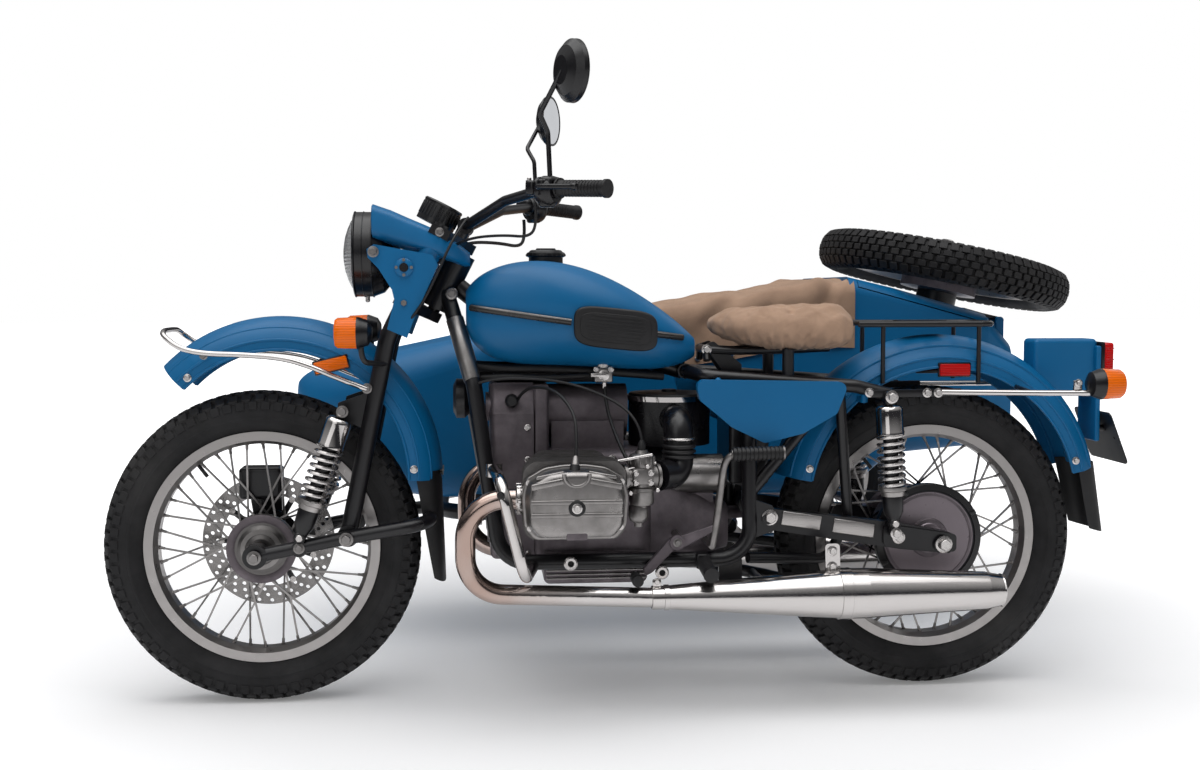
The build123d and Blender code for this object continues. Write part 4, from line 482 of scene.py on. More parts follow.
def axle_distance():
    """Group: the distance from a wheel's axle line."""
    if "axle_distance" in bpy.data.node_groups:
        return bpy.data.node_groups["axle_distance"]
    tree, entry, leave = new_group(
        "axle_distance",
        (("Centre", "NodeSocketVector", (0, 0, 0)), ("Axle", "NodeSocketVector", (0, 1, 0))),
        (("Distance", "NodeSocketFloat"),))
    where = tree.nodes.new("ShaderNodeTexCoord").outputs["Object"]
    away = add_node(tree, "ShaderNodeVectorMath", operation="SUBTRACT")
    cross = add_node(tree, "ShaderNodeVectorMath", operation="CROSS_PRODUCT")
    length = add_node(tree, "ShaderNodeVectorMath", operation="LENGTH")
    tree.links.new(where, away.inputs[0])
    tree.links.new(entry.outputs["Centre"], away.inputs[1])
    tree.links.new(away.outputs[0], cross.inputs[0])
    tree.links.new(entry.outputs["Axle"], cross.inputs[1])
    tree.links.new(cross.outputs[0], length.inputs[0])
    tree.links.new(length.outputs["Value"], leave.inputs["Distance"])
    return tree


def new_material(name):
    """A material with its tree and its Principled shader."""
    material = bpy.data.materials.new(name)
    material.use_nodes = True
    tree = material.node_tree
    return material, tree, tree.nodes["Principled BSDF"]


def set_inputs(node, values):
    """Gives plain values to a node's sockets by their names."""
    for label, value in values.items():
        node.inputs[label].default_value = value


def place_group(tree, group, **values):
    """A group node with its own values."""
    node = tree.nodes.new("ShaderNodeGroup")
    node.node_tree = group
    for label, value in values.items():
        node.inputs[label.replace("_", " ").title()].default_value = value
    return node


def add_bump(tree, shader, height, strength, depth=0.0006):
    """A bump from a height socket into the shader's normal."""
    bump = add_node(tree, "ShaderNodeBump", Strength=strength, Distance=depth)
    tree.links.new(height, bump.inputs["Height"])
    tree.links.new(bump.outputs[0], shader.inputs["Normal"])


def shaded(tone, share):
    """A tone scaled by a share, as a colour with alpha."""
    return (*(value * share for value in tone), 1.0)


def coated(name, tone, dark=0.8, patch=5.0, grain=700.0, rough=(0.3, 0.42), bump=0.04,
           metallic=0.0, shine=0.5):
    """A painted, moulded or cast finish with patches and grain."""
    material, tree, shader = new_material(name)
    surface = place_group(
        tree, worn_surface(), light=shaded(tone, 1.0), dark=shaded(tone, dark), patch_scale=patch,
        grain_scale=grain, rough_low=rough[0], rough_high=rough[1])
    tree.links.new(surface.outputs["Color"], shader.inputs["Base Color"])
    tree.links.new(surface.outputs["Roughness"], shader.inputs["Roughness"])
    add_bump(tree, shader, surface.outputs["Height"], bump)
    set_inputs(shader, {"Metallic": metallic, "Specular IOR Level": shine})
    return material


def polished(name, tone, stretch, rough, metallic=1.0, bump=0.05):
    """A bright metal with its brushing or polishing lines."""
    material, tree, shader = new_material(name)
    lines = place_group(tree, brushed_metal(), stretch=stretch, rough_low=rough[0], rough_high=rough[1])
    tree.links.new(mix_colours(tree, lines.outputs["Streak"], shaded(tone, 0.86), shaded(tone, 1.0)),
                   shader.inputs["Base Color"])
    tree.links.new(lines.outputs["Roughness"], shader.inputs["Roughness"])
    add_bump(tree, shader, lines.outputs["Height"], bump, 0.0002)
    shader.inputs["Metallic"].default_value = metallic
    return material


def exhaust_steel(name, steel, bronze):
    """Brushed stainless steel that turns bronze towards the cylinder heads."""
    material = polished(name, steel, (6, 420, 420), (0.1, 0.22))
    tree = material.node_tree
    shader = tree.nodes["Principled BSDF"]
    plain = shader.inputs["Base Color"].links[0].from_socket
    where = tree.nodes.new("ShaderNodeTexCoord").outputs["Object"]
    split = tree.nodes.new("ShaderNodeSeparateXYZ")
    tree.links.new(where, split.inputs[0])
    cloud = add_node(tree, "ShaderNodeTexNoise", Scale=9.0, Detail=3.0)
    tree.links.new(where, cloud.inputs["Vector"])
    heat = map_range(tree, split.outputs["X"], at(800, 0, 0).x, at(1010, 0, 0).x, 0.0, 0.62)
    spotty = add_node(tree, "ShaderNodeMath", operation="MULTIPLY")
    tree.links.new(heat, spotty.inputs[0])
    tree.links.new(map_range(tree, cloud.outputs[0], 0.3, 0.6, 0.7, 1.0), spotty.inputs[1])
    tree.links.new(mix_colours(tree, spotty.outputs[0], plain, shaded(bronze, 1.0)),
                   shader.inputs["Base Color"])
    return material


def lens_finish(name, tone, ribs, clear):
    """A coloured or clear lens with moulded ribs."""
    material, tree, shader = new_material(name)
    where = tree.nodes.new("ShaderNodeTexCoord").outputs["Object"]
    wave = add_node(tree, "ShaderNodeTexWave", bands_direction="Z", Scale=ribs, Distortion=0.0)
    tree.links.new(where, wave.inputs["Vector"])
    tree.links.new(mix_colours(tree, wave.outputs["Fac"], shaded(tone, 0.82), shaded(tone, 1.0)),
                   shader.inputs["Base Color"])
    add_bump(tree, shader, wave.outputs["Fac"], 0.5, 0.0008)
    set_inputs(shader, {"Roughness": 0.16, "Transmission Weight": clear, "IOR": 1.49,
                        "Specular IOR Level": 0.3})
    return material


def canvas_finish(name, tone):
    """Tan woven canvas: crossed threads, faded patches and a soft sheen."""
    material, tree, shader = new_material(name)
    where = tree.nodes.new("ShaderNodeTexCoord").outputs["Object"]
    threads = []
    for direction in ("X", "Y", "Z"):
        wave = add_node(tree, "ShaderNodeTexWave", bands_direction=direction, Scale=150.0, Distortion=0.6)
        wave.inputs["Detail"].default_value = 1.0
        tree.links.new(where, wave.inputs["Vector"])
        threads.append(wave.outputs["Fac"])
    both = add_node(tree, "ShaderNodeMath", operation="MULTIPLY")
    tree.links.new(threads[0], both.inputs[0])
    tree.links.new(threads[1], both.inputs[1])
    weave = add_node(tree, "ShaderNodeMath", operation="ADD")
    tree.links.new(both.outputs[0], weave.inputs[0])
    tree.links.new(threads[2], weave.inputs[1])
    surface = place_group(
        tree, worn_surface(), light=shaded(tone, 1.06), dark=shaded(tone, 0.78), patch_scale=9.0,
        grain_scale=420.0, rough_low=0.78, rough_high=0.92)
    shade = map_range(tree, weave.outputs[0], 0.0, 1.6, 0.0, 0.28)
    tree.links.new(mix_colours(tree, shade, surface.outputs["Color"], shaded(tone, 0.55)),
                   shader.inputs["Base Color"])
    tree.links.new(surface.outputs["Roughness"], shader.inputs["Roughness"])
    add_bump(tree, shader, weave.outputs[0], 0.35, 0.0007)
    shader.inputs["Sheen Weight"].default_value = 0.08
    return material


def tyre_finish(name, tone):
    """Tyre rubber with a pale film of dust in patches."""
    material, tree, shader = new_material(name)
    surface = place_group(
        tree, worn_surface(), light=shaded(tone, 1.0), dark=shaded(tone, 0.62), patch_scale=14.0,
        grain_scale=1100.0, rough_low=0.62, rough_high=0.82)
    where = tree.nodes.new("ShaderNodeTexCoord").outputs["Object"]
    cloud = add_node(tree, "ShaderNodeTexNoise", Scale=5.0, Detail=6.0)
    tree.links.new(where, cloud.inputs["Vector"])
    dust = map_range(tree, cloud.outputs[0], 0.52, 0.8, 0.0, 0.22)
    tree.links.new(mix_colours(tree, dust, surface.outputs["Color"], (0.10, 0.095, 0.09, 1)),
                   shader.inputs["Base Color"])
    tree.links.new(surface.outputs["Roughness"], shader.inputs["Roughness"])
    add_bump(tree, shader, surface.outputs["Height"], 0.12)
    return material


def wheel_finish(name, wheel, settings):
    """One wheel's metals by distance from its axle: hub, spokes and rim."""
    material, tree, shader = new_material(name)
    place = wheel_place(wheel)
    reach = place_group(tree, axle_distance(), centre=place.translation, axle=place.col[2].xyz)
    distance = reach.outputs["Distance"]
    front = wheel == "front"
    hub_tone = shaded(settings.aluminium, 0.3) if front else shaded(settings.case_grey, 1.25)
    ring_tone = shaded(settings.aluminium, 0.75) if front else shaded(settings.frame_black, 1.3)
    steel = shaded(settings.steel, 0.45)
    ring = map_range(tree, distance, 0.066 if front else 0.103, 0.067 if front else 0.105, 0.0, 1.0)
    spoke = map_range(tree, distance, 0.0765 if front else 0.1236, 0.0775 if front else 0.1246, 0.0, 1.0)
    rim = map_range(tree, distance, 0.2265, 0.2275, 0.0, 1.0)
    tone = mix_colours(tree, ring, hub_tone, ring_tone)
    tone = mix_colours(tree, spoke, tone, steel)
    tone = mix_colours(tree, rim, tone, shaded(settings.aluminium, 0.86))
    tree.links.new(tone, shader.inputs["Base Color"])
    lines = place_group(tree, brushed_metal(), stretch=(60, 60, 60), rough_low=0.26, rough_high=0.42)
    tree.links.new(lines.outputs["Roughness"], shader.inputs["Roughness"])
    tree.links.new(map_range(tree, spoke, 0.0, 1.0, 1.0 if front else 0.55, 1.0), shader.inputs["Metallic"])
    add_bump(tree, shader, lines.outputs["Height"], 0.05, 0.0002)
    return material


COATED = {
    # tone, its share and the settings of each painted, moulded or cast finish
    "body_blue": ("body_blue", 1.0, dict(
        dark=0.9, patch=2.5, grain=500.0, rough=(0.36, 0.44), bump=0.025, shine=0.32)),
    "frame_black": ("frame_black", 1.0, dict(dark=0.7, rough=(0.26, 0.38), bump=0.03)),
    "case_grey": ("case_grey", 1.0, dict(
        dark=0.62, patch=22.0, grain=1500.0, rough=(0.42, 0.6), bump=0.22, metallic=0.55)),
    "cast_aluminium": ("aluminium", 1.0, dict(
        dark=0.72, patch=26.0, grain=1400.0, rough=(0.3, 0.44), bump=0.14, metallic=1.0)),
    "barrel_grey": ("aluminium", 0.4, dict(
        dark=0.6, patch=26.0, grain=1400.0, rough=(0.4, 0.55), bump=0.16, metallic=0.8)),
    "zinc": ("aluminium", 0.62, dict(
        dark=0.7, patch=30.0, grain=1400.0, rough=(0.32, 0.46), bump=0.12, metallic=1.0)),
    "cover_metal": ("aluminium", 0.66, dict(
        dark=0.7, patch=24.0, grain=1500.0, rough=(0.24, 0.38), bump=0.12, metallic=1.0)),
    "dark_trim": ("aluminium", 0.1, dict(dark=0.8, patch=18.0, rough=(0.22, 0.34), bump=0.02, metallic=0.5)),
    "soft_rubber": ("rubber", 1.0, dict(dark=0.6, patch=12.0, rough=(0.45, 0.6), bump=0.1)),
    "moulded_black": ("frame_black", 0.8, dict(rough=(0.22, 0.38), bump=0.05)),
    "plate_black": ("frame_black", 0.8, dict(rough=(0.3, 0.45), bump=0.02)),
}
POLISHED = {
    # tone, its share, stretch of the polishing lines, roughness and bump
    "chrome": ("steel", 1.0, (30, 30, 30), (0.05, 0.14), 0.01),
    "bright_steel": ("steel", 1.0, (160, 160, 160), (0.18, 0.34), 0.05),
    "brushed_plate": ("aluminium", 1.0, (8, 700, 700), (0.22, 0.42), 0.12),
    "disc_steel": ("steel", 0.42, (260, 260, 260), (0.2, 0.36), 0.05),
}


def finish(label):
    """The material of a finish, made when it is first asked for."""
    made = f"{label}_finish"
    if made in bpy.data.materials:
        return bpy.data.materials[made]
    tones = bpy.context.scene.sidecar_finish
    if label in COATED:
        tone, share, settings = COATED[label]
        return coated(made, shaded(getattr(tones, tone), share)[:3], **settings)
    if label in POLISHED:
        tone, share, stretch, rough, bump = POLISHED[label]
        return polished(made, shaded(getattr(tones, tone), share)[:3], stretch, rough, bump=bump)
    if label.startswith("wheel_"):
        return wheel_finish(made, label.removeprefix("wheel_"), tones)
    makers = {
        "exhaust_steel": lambda: exhaust_steel(made, tones.steel, tones.bronze),
        "tyre_rubber": lambda: tyre_finish(made, tones.rubber),
        "canvas": lambda: canvas_finish(made, tones.canvas_tan),
        "amber_lens": lambda: lens_finish(made, tones.amber, 60.0, 0.0),
        "red_lens": lambda: lens_finish(made, tones.red, 60.0, 0.0),
        "clear_lens": lambda: lens_finish(made, (0.92, 0.93, 0.94), 40.0, 0.75),
        "mirror_glass": lambda: polished(made, (0.85, 0.87, 0.9), (20, 20, 20), (0.02, 0.05), bump=0.0),
        "dial_white": lambda: coated(made, (0.75, 0.75, 0.73), rough=(0.4, 0.5)),
    }
    return makers[label]()


NODE_FINISHES = {
    "body_blue": (
        "fuel_tank", "side_panels", "rear_fender", "front_fender", "fork_covers", "sidecar_tub",
        "sidecar_fender", "trunk_lid"),
    "frame_black": (
        "main_frame", "frame_fittings", "saddle_bracket", "rear_rack", "swing_arms", "sidecar_frame",
        "spare_carrier", "fork", "front_link", "handlebar", "centre_stand"),
    "case_grey": ("engine_block", "front_case", "final_drive"),
    "barrel_grey": ("cylinders",),
    "exhaust_steel": ("exhausts",),
    "chrome": ("crash_bars",),
    "moulded_black": ("filler_cap", "headlamp", "speedometer", "mirrors", "air_cleaner"),
    "plate_black": ("number_plate",),
    "wheel_front": ("front_wheel",),
    "wheel_rear": ("rear_wheel",),
    "wheel_sidecar": ("sidecar_wheel",),
    "wheel_spare": ("spare_wheel",),
}


class FinishFrame(bpy.types.Operator):
    """Gives each solid of the frame its finish"""

    bl_idname = "sidecar.finish_frame"
    bl_label = "Finish the solids"

    def execute(self, context):
        for label, nodes in NODE_FINISHES.items():
            for node in nodes:
                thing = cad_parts[node]
                if not thing.material_slots:
                    thing.data.materials.append(finish(label))
                for slot in thing.material_slots:
                    slot.material = finish(label)
        return {"FINISHED"}


# Wheels

TYRE_SIDE = (
    (336.5, 0), (335.6, 14), (333, 26), (327.5, 37), (319, 45), (309, 50.2), (297, 51.8), (288, 51.0),
    (286.6, 51.9), (283.4, 51.6), (282, 50.3), (274, 46.5), (266, 40.0), (260, 32.6), (256.6, 28.2),
    (246, 27.6),
)
TREAD_ROWS = (
    # corners as radius and offset, start of the row as a share of the pitch, and whether it has a twin
    (((345, -7.5), (345, 7.5), (334, 7.5), (334, -7.5)), 0.0, False),
    (((344.2, 10.4), (341.4, 25.6), (331, 24.8), (333.4, 10.4)), 0.5, True),
    (((340.2, 28.6), (327.4, 46.4), (316, 44.4), (330.5, 27.4)), 0.0, True),
    (((324.6, 47.4), (306, 53.2), (305, 48.5), (323, 43.5)), 0.5, True),
)


def tread_row(bm, place, corners, phase, twin, blocks, share):
    """One row of tread blocks round a tyre, by turning one block."""
    pitch = math.tau / blocks
    for side in ((1, -1) if twin else (1,)):
        with shape(bm, place, 0, smooth=False) as part:
            ring = [part.verts.new((radius * MM, 0, side * offset * MM)) for radius, offset in corners]
            part.faces.new(ring)
            turn = Matrix.Rotation((phase - share / 2) * pitch, 3, "Z")
            bmesh.ops.rotate(part, verts=part.verts[:], cent=(0, 0, 0), matrix=turn)
            spin_all(part, share * pitch, 1)
            soften(part, part.edges[:], 1.3 * MM, 1)
            spin_all(part, pitch * (blocks - 1), blocks - 1, use_duplicate=True)


class Tyres(bpy.types.Operator):
    """Models the four tyres with their block tread"""

    bl_idname = "sidecar.tyres"
    bl_label = "Tyres"

    def execute(self, context):
        sizes = context.scene.sidecar_sizes
        outline = [(radius, -offset) for radius, offset in reversed(TYRE_SIDE)] + list(TYRE_SIDE[1:])
        for name, (_, body) in WHEELS.items():
            bm = bmesh.new()
            place = wheel_place(name)
            lathe(bm, place, outline, 96, closed=True)
            for corners, phase, twin in TREAD_ROWS:
                tread_row(bm, place, corners, phase, twin, sizes.tread_blocks, sizes.tread_share)
            piece(f"{name}_tread_tyre", bm, body, ["tyre_rubber"], [f"{name}_tyre"], 30)
        return {"FINISHED"}


SPOKE_LEAN = math.radians(38)


def spoke_nipples(bm, place, flange_radius, flange_offset):
    """Spoke nipples round the inside of a rim, each in line with its spoke."""
    for side in SIDES:
        for parity in (1, -1):
            first = math.radians((18 if parity > 0 else 0) + (9 if side < 0 else 0))
            hub = first + SPOKE_LEAN * parity
            spread = side * (flange_offset + 5 * parity)
            rim_spot = Vector((230 * math.cos(first), -230 * math.sin(first), side * 5)) * MM
            hub_spot = Vector((flange_radius * math.cos(hub), -flange_radius * math.sin(hub), spread)) * MM
            with shape(bm, place, 0) as part:
                lathe(part, facing(rim_spot, hub_spot - rim_spot),
                      [(0, 0), (4.6, 0), (4.6, 4), (3.4, 5), (3.2, 15), (0, 15)], 8)
                spin_all(part, math.radians(36 * 9), 9, use_duplicate=True)


class WheelDetails(bpy.types.Operator):
    """Adds spoke nipples, valves, hub rings and the drilled brake disc"""

    bl_idname = "sidecar.wheel_details"
    bl_label = "Wheel details"

    def execute(self, context):
        for name, (_, body) in WHEELS.items():
            bm = bmesh.new()
            place = wheel_place(name)
            front = name == "front"
            spoke_nipples(bm, place, *((54, 33) if front else (102, 22)))
            valve = place @ Matrix.Rotation(math.radians(-52), 4, "Z")
            bar(bm, valve @ Vector((0.229, 0, 0)), valve @ Vector((0.196, 0, 0.004)), 4.2, 1)
            if front:
                lathe(bm, place, [(58, 48), (74, 48), (75.5, 50), (75.5, 52.5), (70, 54.5), (62, 54),
                                  (58, 51)], 64, 2, closed=True)
                lathe(bm, place, [(34, 52), (44, 55), (44, 58), (34, 60)], 48, 0, closed=True)
            else:
                lathe(bm, place, [(109, 53), (121, 49), (124, 49), (124, 52), (121, 55.5),
                                  (109, 56.5)], 72, 1, closed=True)
                lathe(bm, place, [(96, 53.4), (101, 53.4), (101, 56), (96, 56)], 72, 2, closed=True)
                lathe(bm, place, [(30, 53.4), (46, 53.4), (42, 58.5), (30, 60)], 48, 2, closed=True)
                for step in range(4):
                    turn = place @ Matrix.Rotation(step * math.pi / 2 + 0.5, 4, "Z")
                    slab(bm, turn @ moved(0.1165, 0, 0.055), (15, 11, 6), 2, 1)
            piece(f"{name}_wheel_fittings", bm, body, ["zinc", "moulded_black", "case_grey"])
        bm = bmesh.new()
        place = wheel_place("front") @ moved(0, 0, -0.0673)
        with shape(bm, place, 0) as part:
            for radius, sides in ((147, 96), (105, 72)):
                bmesh.ops.create_circle(part, segments=sides, radius=radius * MM)
            for row, radius in enumerate((113.5, 126, 138.5)):
                for step in range(30):
                    turn = Matrix.Rotation((step + row / 3) * math.tau / 30, 4, "Z")
                    bmesh.ops.create_circle(
                        part, segments=9, radius=4.6 * MM, matrix=turn @ moved(radius * MM, 0, 0))
            bmesh.ops.triangle_fill(part, use_beauty=True, edges=part.edges[:])
            draw_out(part, 5)
        lathe(bm, place, [(22, 0), (70, 0), (70, 4), (22, 4)], 48, 1, closed=True)
        for step in range(9):
            turn = place @ Matrix.Rotation(step * math.tau / 9, 4, "Z")
            slab(bm, turn @ moved(0.088, 0, 0.0025), (46, 13, 4), 1.5, 1)
            lathe(bm, turn @ moved(0.105, 0, -0.001), [(0, 0), (7, 0), (7, 7), (0, 7)], 14, 2)
        piece("drilled_brake_disc", bm, "front_wheel_set", ["disc_steel", "moulded_black", "bright_steel"],
              ["front_disc"])
        return {"FINISHED"}


def shock_absorber(bm, top, low, sizes):
    """A shock absorber: chrome shroud, open spring over its black damper, and an aluminium foot."""
    length = (low - top).length / MM
    place = facing(top, low - top)
    shroud = [(10, 0.045), (25, 0.05), (29, 0.065), (30, 0.085), (30, 0.25), (31, 0.255), (31, 0.275),
              (27.5, 0.275), (27.5, 0.1), (10, 0.1)]
    lathe(bm, place, [(radius, share * length) for radius, share in shroud], 40, 0, closed=True)
    lathe(bm, place, [(0, 0.09 * length), (16, 0.09 * length), (16, 0.88 * length),
                      (0, 0.88 * length)], 24, 1)
    seat = [(0, 0.7), (30.5, 0.7), (31, 0.71), (31, 0.73), (26, 0.74), (25, 0.775), (0, 0.775)]
    lathe(bm, place, [(radius, share * length) for radius, share in seat], 36, 2)
    foot = [(0, 0.77), (22, 0.77), (23, 0.79), (22, 0.9), (15, 0.96), (12, 1.0), (0, 1.0)]
    lathe(bm, place, [(radius, share * length) for radius, share in foot], 36, 1)
    turns = sizes.spring_turns
    steps = turns * 20
    start, end = 0.262 * length * MM, 0.705 * length * MM
    with shape(bm, place, 3) as part:
        stand = moved(0.0268, 0, start) @ Matrix.Rotation(math.pi / 2, 4, "X")
        bmesh.ops.create_circle(part, segments=8, radius=sizes.spring_wire, cap_ends=True, matrix=stand)
        spin_all(part, math.tau * turns, steps, dvec=(0, 0, (end - start) / steps))
    for spot, reach in ((top, 15), (low, 15)):
        bar(bm, spot - LEFT * reach * MM, spot + LEFT * reach * MM, 12.5, 1, 2)
        bar(bm, spot - LEFT * (reach + 3) * MM, spot + LEFT * (reach + 3) * MM, 7.5, 4, 1)


class Shocks(bpy.types.Operator):
    """Models the shock absorbers with open springs"""

    bl_idname = "sidecar.shocks"
    bl_label = "Shock absorbers"

    def execute(self, context):
        sizes = context.scene.sidecar_sizes
        finishes = ["chrome", "moulded_black", "cast_aluminium", "bright_steel", "bright_steel"]
        bm = bmesh.new()
        for side in SIDES:
            shock_absorber(bm, at(1308.5, side * 136, 650), at(1401, side * 136, 384), sizes)
        piece("front_spring_shocks", bm, "steering", finishes, ["front_shocks"])
        bm = bmesh.new()
        for side in SIDES:
            shock_absorber(bm, at(126, side * 152, 668), at(112, side * 152, 396), sizes)
        shock_absorber(bm, at(118, -1020, 672), at(110, -1034, 388), sizes)
        bar(bm, at(112, -1020, 676), at(174, -987, 676), 10, 4)
        piece("rear_spring_shocks", bm, "chassis", finishes, ["rear_shocks"])
        return {"FINISHED"}


# Canvas

SADDLE_RINGS = (
    # x, width, low, high
    (508, 26, 822, 838), (490, 80, 813, 848), (462, 148, 802, 853), (420, 206, 790, 856),
    (370, 250, 780, 858), (320, 272, 776, 860), (262, 280, 779, 862), (222, 268, 787, 862),
    (198, 230, 794, 856), (186, 166, 802, 848),
)


CLOTH_FRAMES = 20


def swell(thing, voxel, pressure, cap):
    """Blows a closed cloth piece up a little with the cloth simulation and keeps the result in its mesh."""
    scene = bpy.context.scene
    even = thing.modifiers.new("even", "REMESH")
    even.mode = "VOXEL"
    even.voxel_size = voxel
    bpy.context.view_layer.update()
    mesh = bpy.data.meshes.new_from_object(thing.evaluated_get(bpy.context.evaluated_depsgraph_get()))
    thing.modifiers.remove(even)
    thing.data = mesh
    rest = [vert.co.copy() for vert in mesh.vertices]
    cloth = thing.modifiers.new("cloth", "CLOTH")
    cloth.settings.quality = 5
    cloth.settings.mass = 0.25
    cloth.settings.tension_stiffness = 12
    cloth.settings.compression_stiffness = 6
    cloth.settings.bending_stiffness = 0.4
    cloth.settings.use_pressure = True
    cloth.settings.uniform_pressure_force = pressure
    cloth.settings.effector_weights.gravity = 0.0
    cloth.point_cache.frame_start = 1
    cloth.point_cache.frame_end = CLOTH_FRAMES
    for number in range(1, CLOTH_FRAMES + 1):
        scene.frame_set(number)
    settled = thing.evaluated_get(bpy.context.evaluated_depsgraph_get())
    blown = [vert.co.copy() for vert in settled.data.vertices]
    thing.modifiers.remove(cloth)
    scene.frame_set(1)
    for vert, start, end in zip(mesh.vertices, rest, blown):
        step = end - start
        if step.length > cap:
            step *= cap / step.length
        if step.z < 0:
            step.z = 0
        vert.co = start + step


def crease(spot, length, width, depth, angle):
    """The height of a field of soft creases that run along one direction."""
    x, y = spot
    along = x * math.cos(angle) + y * math.sin(angle)
    across = y * math.cos(angle) - x * math.sin(angle)
    value = noise.noise(Vector((along / length, across / width, 3.7)))
    return depth * (1 - abs(value) * 3.0) if abs(value) < 0.33 else 0.0


class Saddle(bpy.types.Operator):
    """Models the rider's saddle in its tan canvas cover"""

    bl_idname = "sidecar.saddle"
    bl_label = "Saddle"

    def execute(self, context):
        bm = bmesh.new()
        ring_skin(bm, SADDLE_RINGS, 0, 0.62)
        saddle = piece("canvas_saddle", bm, "chassis", ["canvas"], ["rider_saddle"], 180)
        swell(saddle, 0.006, 4.0, context.scene.sidecar_sizes.canvas_swell)
        mesh = saddle.data
        if not mesh.materials:
            mesh.materials.append(finish("canvas"))
        low_z = at(0, 0, 778).z
        normals = [vert.normal.copy() for vert in mesh.vertices]
        for vert, normal in zip(mesh.vertices, normals):
            spot = (vert.co.x, vert.co.y)
            lift = crease(spot, 0.12, 0.035, 0.0045, 0.35) + crease(spot, 0.09, 0.03, 0.0035, -0.5)
            lift += 0.0035 * noise.noise(vert.co * 26)
            if vert.co.z < low_z + 0.03:
                lift += 0.003 * math.sin(math.atan2(vert.co.y - GROUND.y, vert.co.x - at(330, 0, 0).x) * 34)
            vert.co += normal * lift
            if vert.co.z < low_z - 0.004:
                vert.co.z = low_z - 0.004
        for face in mesh.polygons:
            face.use_smooth = True
        smooth = saddle.modifiers.new("smooth", "SUBSURF")
        smooth.levels = 1
        smooth.render_levels = 1
        return {"FINISHED"}


COVER_HEM = ((860, 772), (820, 738), (640, 722), (472, 718), (369, 732), (277, 749), (150, 762), (46, 769))
COVER_FRONT = 860
COVER_LENGTH = 812
COVER_HALF = 273.5
COVER_FOLDS = (
    # x and girth at each end of a fold, its depth and its width
    (430, 330, 230, 170, -11, 26), (470, 330, 300, 150, 7, 24), (150, 380, 70, 215, -13, 20),
    (190, 380, 120, 190, 8, 22), (640, 300, 540, 180, -6, 24), (330, 400, 250, 290, -6, 18),
    (700, 60, 420, 110, -8, 40), (300, 20, 120, 120, 8, 46),
)


def fold_height(x, run):
    """The sum of the cover's large folds at a place, given by length along and girth across."""
    total = 0.0
    for start_x, start_run, end_x, end_run, depth, width in COVER_FOLDS:
        line = Vector((end_x - start_x, end_run - start_run))
        spot = Vector((x - start_x, run - start_run))
        share = min(1.0, max(0.0, spot.dot(line) / line.length_squared))
        away = (spot - line * share).length
        fade = 0.35 + 0.65 * math.sin(math.pi * (0.15 + 0.7 * share))
        total += depth * math.exp(-((away / width) ** 2)) * fade
    return total


def hem_height(x):
    """The height of the cockpit cover's hem at a place along the sidecar."""
    for (front, high), (rear, low) in zip(COVER_HEM, COVER_HEM[1:]):
        if rear <= x <= front:
            return low + (high - low) * (x - rear) / (front - rear)
    return COVER_HEM[-1][1]


class CockpitCover(bpy.types.Operator):
    """Models the tan canvas cover over the cockpit"""

    bl_idname = "sidecar.cockpit_cover"
    bl_label = "Cockpit cover"

    def execute(self, context):
        bm = bmesh.new()
        bmesh.ops.create_grid(bm, x_segments=110, y_segments=140, size=1.0)
        for vert in bm.verts:
            along = (vert.co.x + 1) / 2
            across = vert.co.y
            x = COVER_FRONT - COVER_LENGTH * along
            top = 822 + 126 * along
            half = COVER_HALF
            corner = 58 - 16 * along
            hem = hem_height(x)
            drop = top - corner - hem
            girth = (half - corner) + corner * math.pi / 2 + drop
            run = abs(across) * girth
            if run < half - corner:
                y, z = run, top
                out = Vector((0, 0, 1))
            elif run < half - corner + corner * math.pi / 2:
                bend = (run - half + corner) / corner
                y = half - corner + corner * math.sin(bend)
                z = top - corner + corner * math.cos(bend)
                out = Vector((0, math.sin(bend), math.cos(bend)))
            else:
                y, z = half, top - corner - (run - half + corner - corner * math.pi / 2)
                out = Vector((0, 1, 0))
            side = math.copysign(1, across)
            flat = max(0.0, 1 - run / (half - 20))
            sag = -20 * flat ** 0.6 * math.sin(math.pi * along) ** 0.8 - 9 * max(0.0, along - 0.9) / 0.1
            low = max(0.0, (run - half) / (girth - half)) if girth > half else 0.0
            ripple = 4.5 * low * (1 + math.sin(x / 21 + 2.0 * math.sin(x / 67) + side)) / 2
            ridge = abs(noise.noise(Vector((x / 160 + y / 90, y / 240, side))))
            pull = 5.0 * math.sin(math.pi * along) * ridge
            crumple = 2.4 * noise.noise(Vector((x / 46, side * run / 70, 1.3)))
            out_by = 2.4 + ripple + pull + crumple + fold_height(x, run + 14 * side)
            if z < 790:
                out_by = max(out_by, 2.2)
            push = Vector((0, side * out.y, out.z)) * out_by
            place = Vector((x, side * y, z)) + push + Vector((0, 0, sag))
            vert.co = at(place.x, SIDECAR_Y + place.y, place.z)
        bmesh.ops.recalc_face_normals(bm, faces=bm.faces[:])
        if max(bm.verts, key=lambda vert: vert.co.z).normal.z < 0:
            bmesh.ops.reverse_faces(bm, faces=bm.faces[:])
        for face in bm.faces:
            face.smooth = True
        area = sum(face.calc_area() for face in bm.faces)
        cover = piece("canvas_cockpit_cover", bm, "chassis", ["canvas"], ["cockpit_cover"], 180)
        return {"FINISHED"}


# Engine

COVER_OUTLINE = (
    (-104, -50), (-82, -76), (82, -76), (104, -50), (108, 12), (100, 48), (62, 70), (22, 76),
    (-22, 76), (-62, 70), (-100, 48), (-108, 12),
)


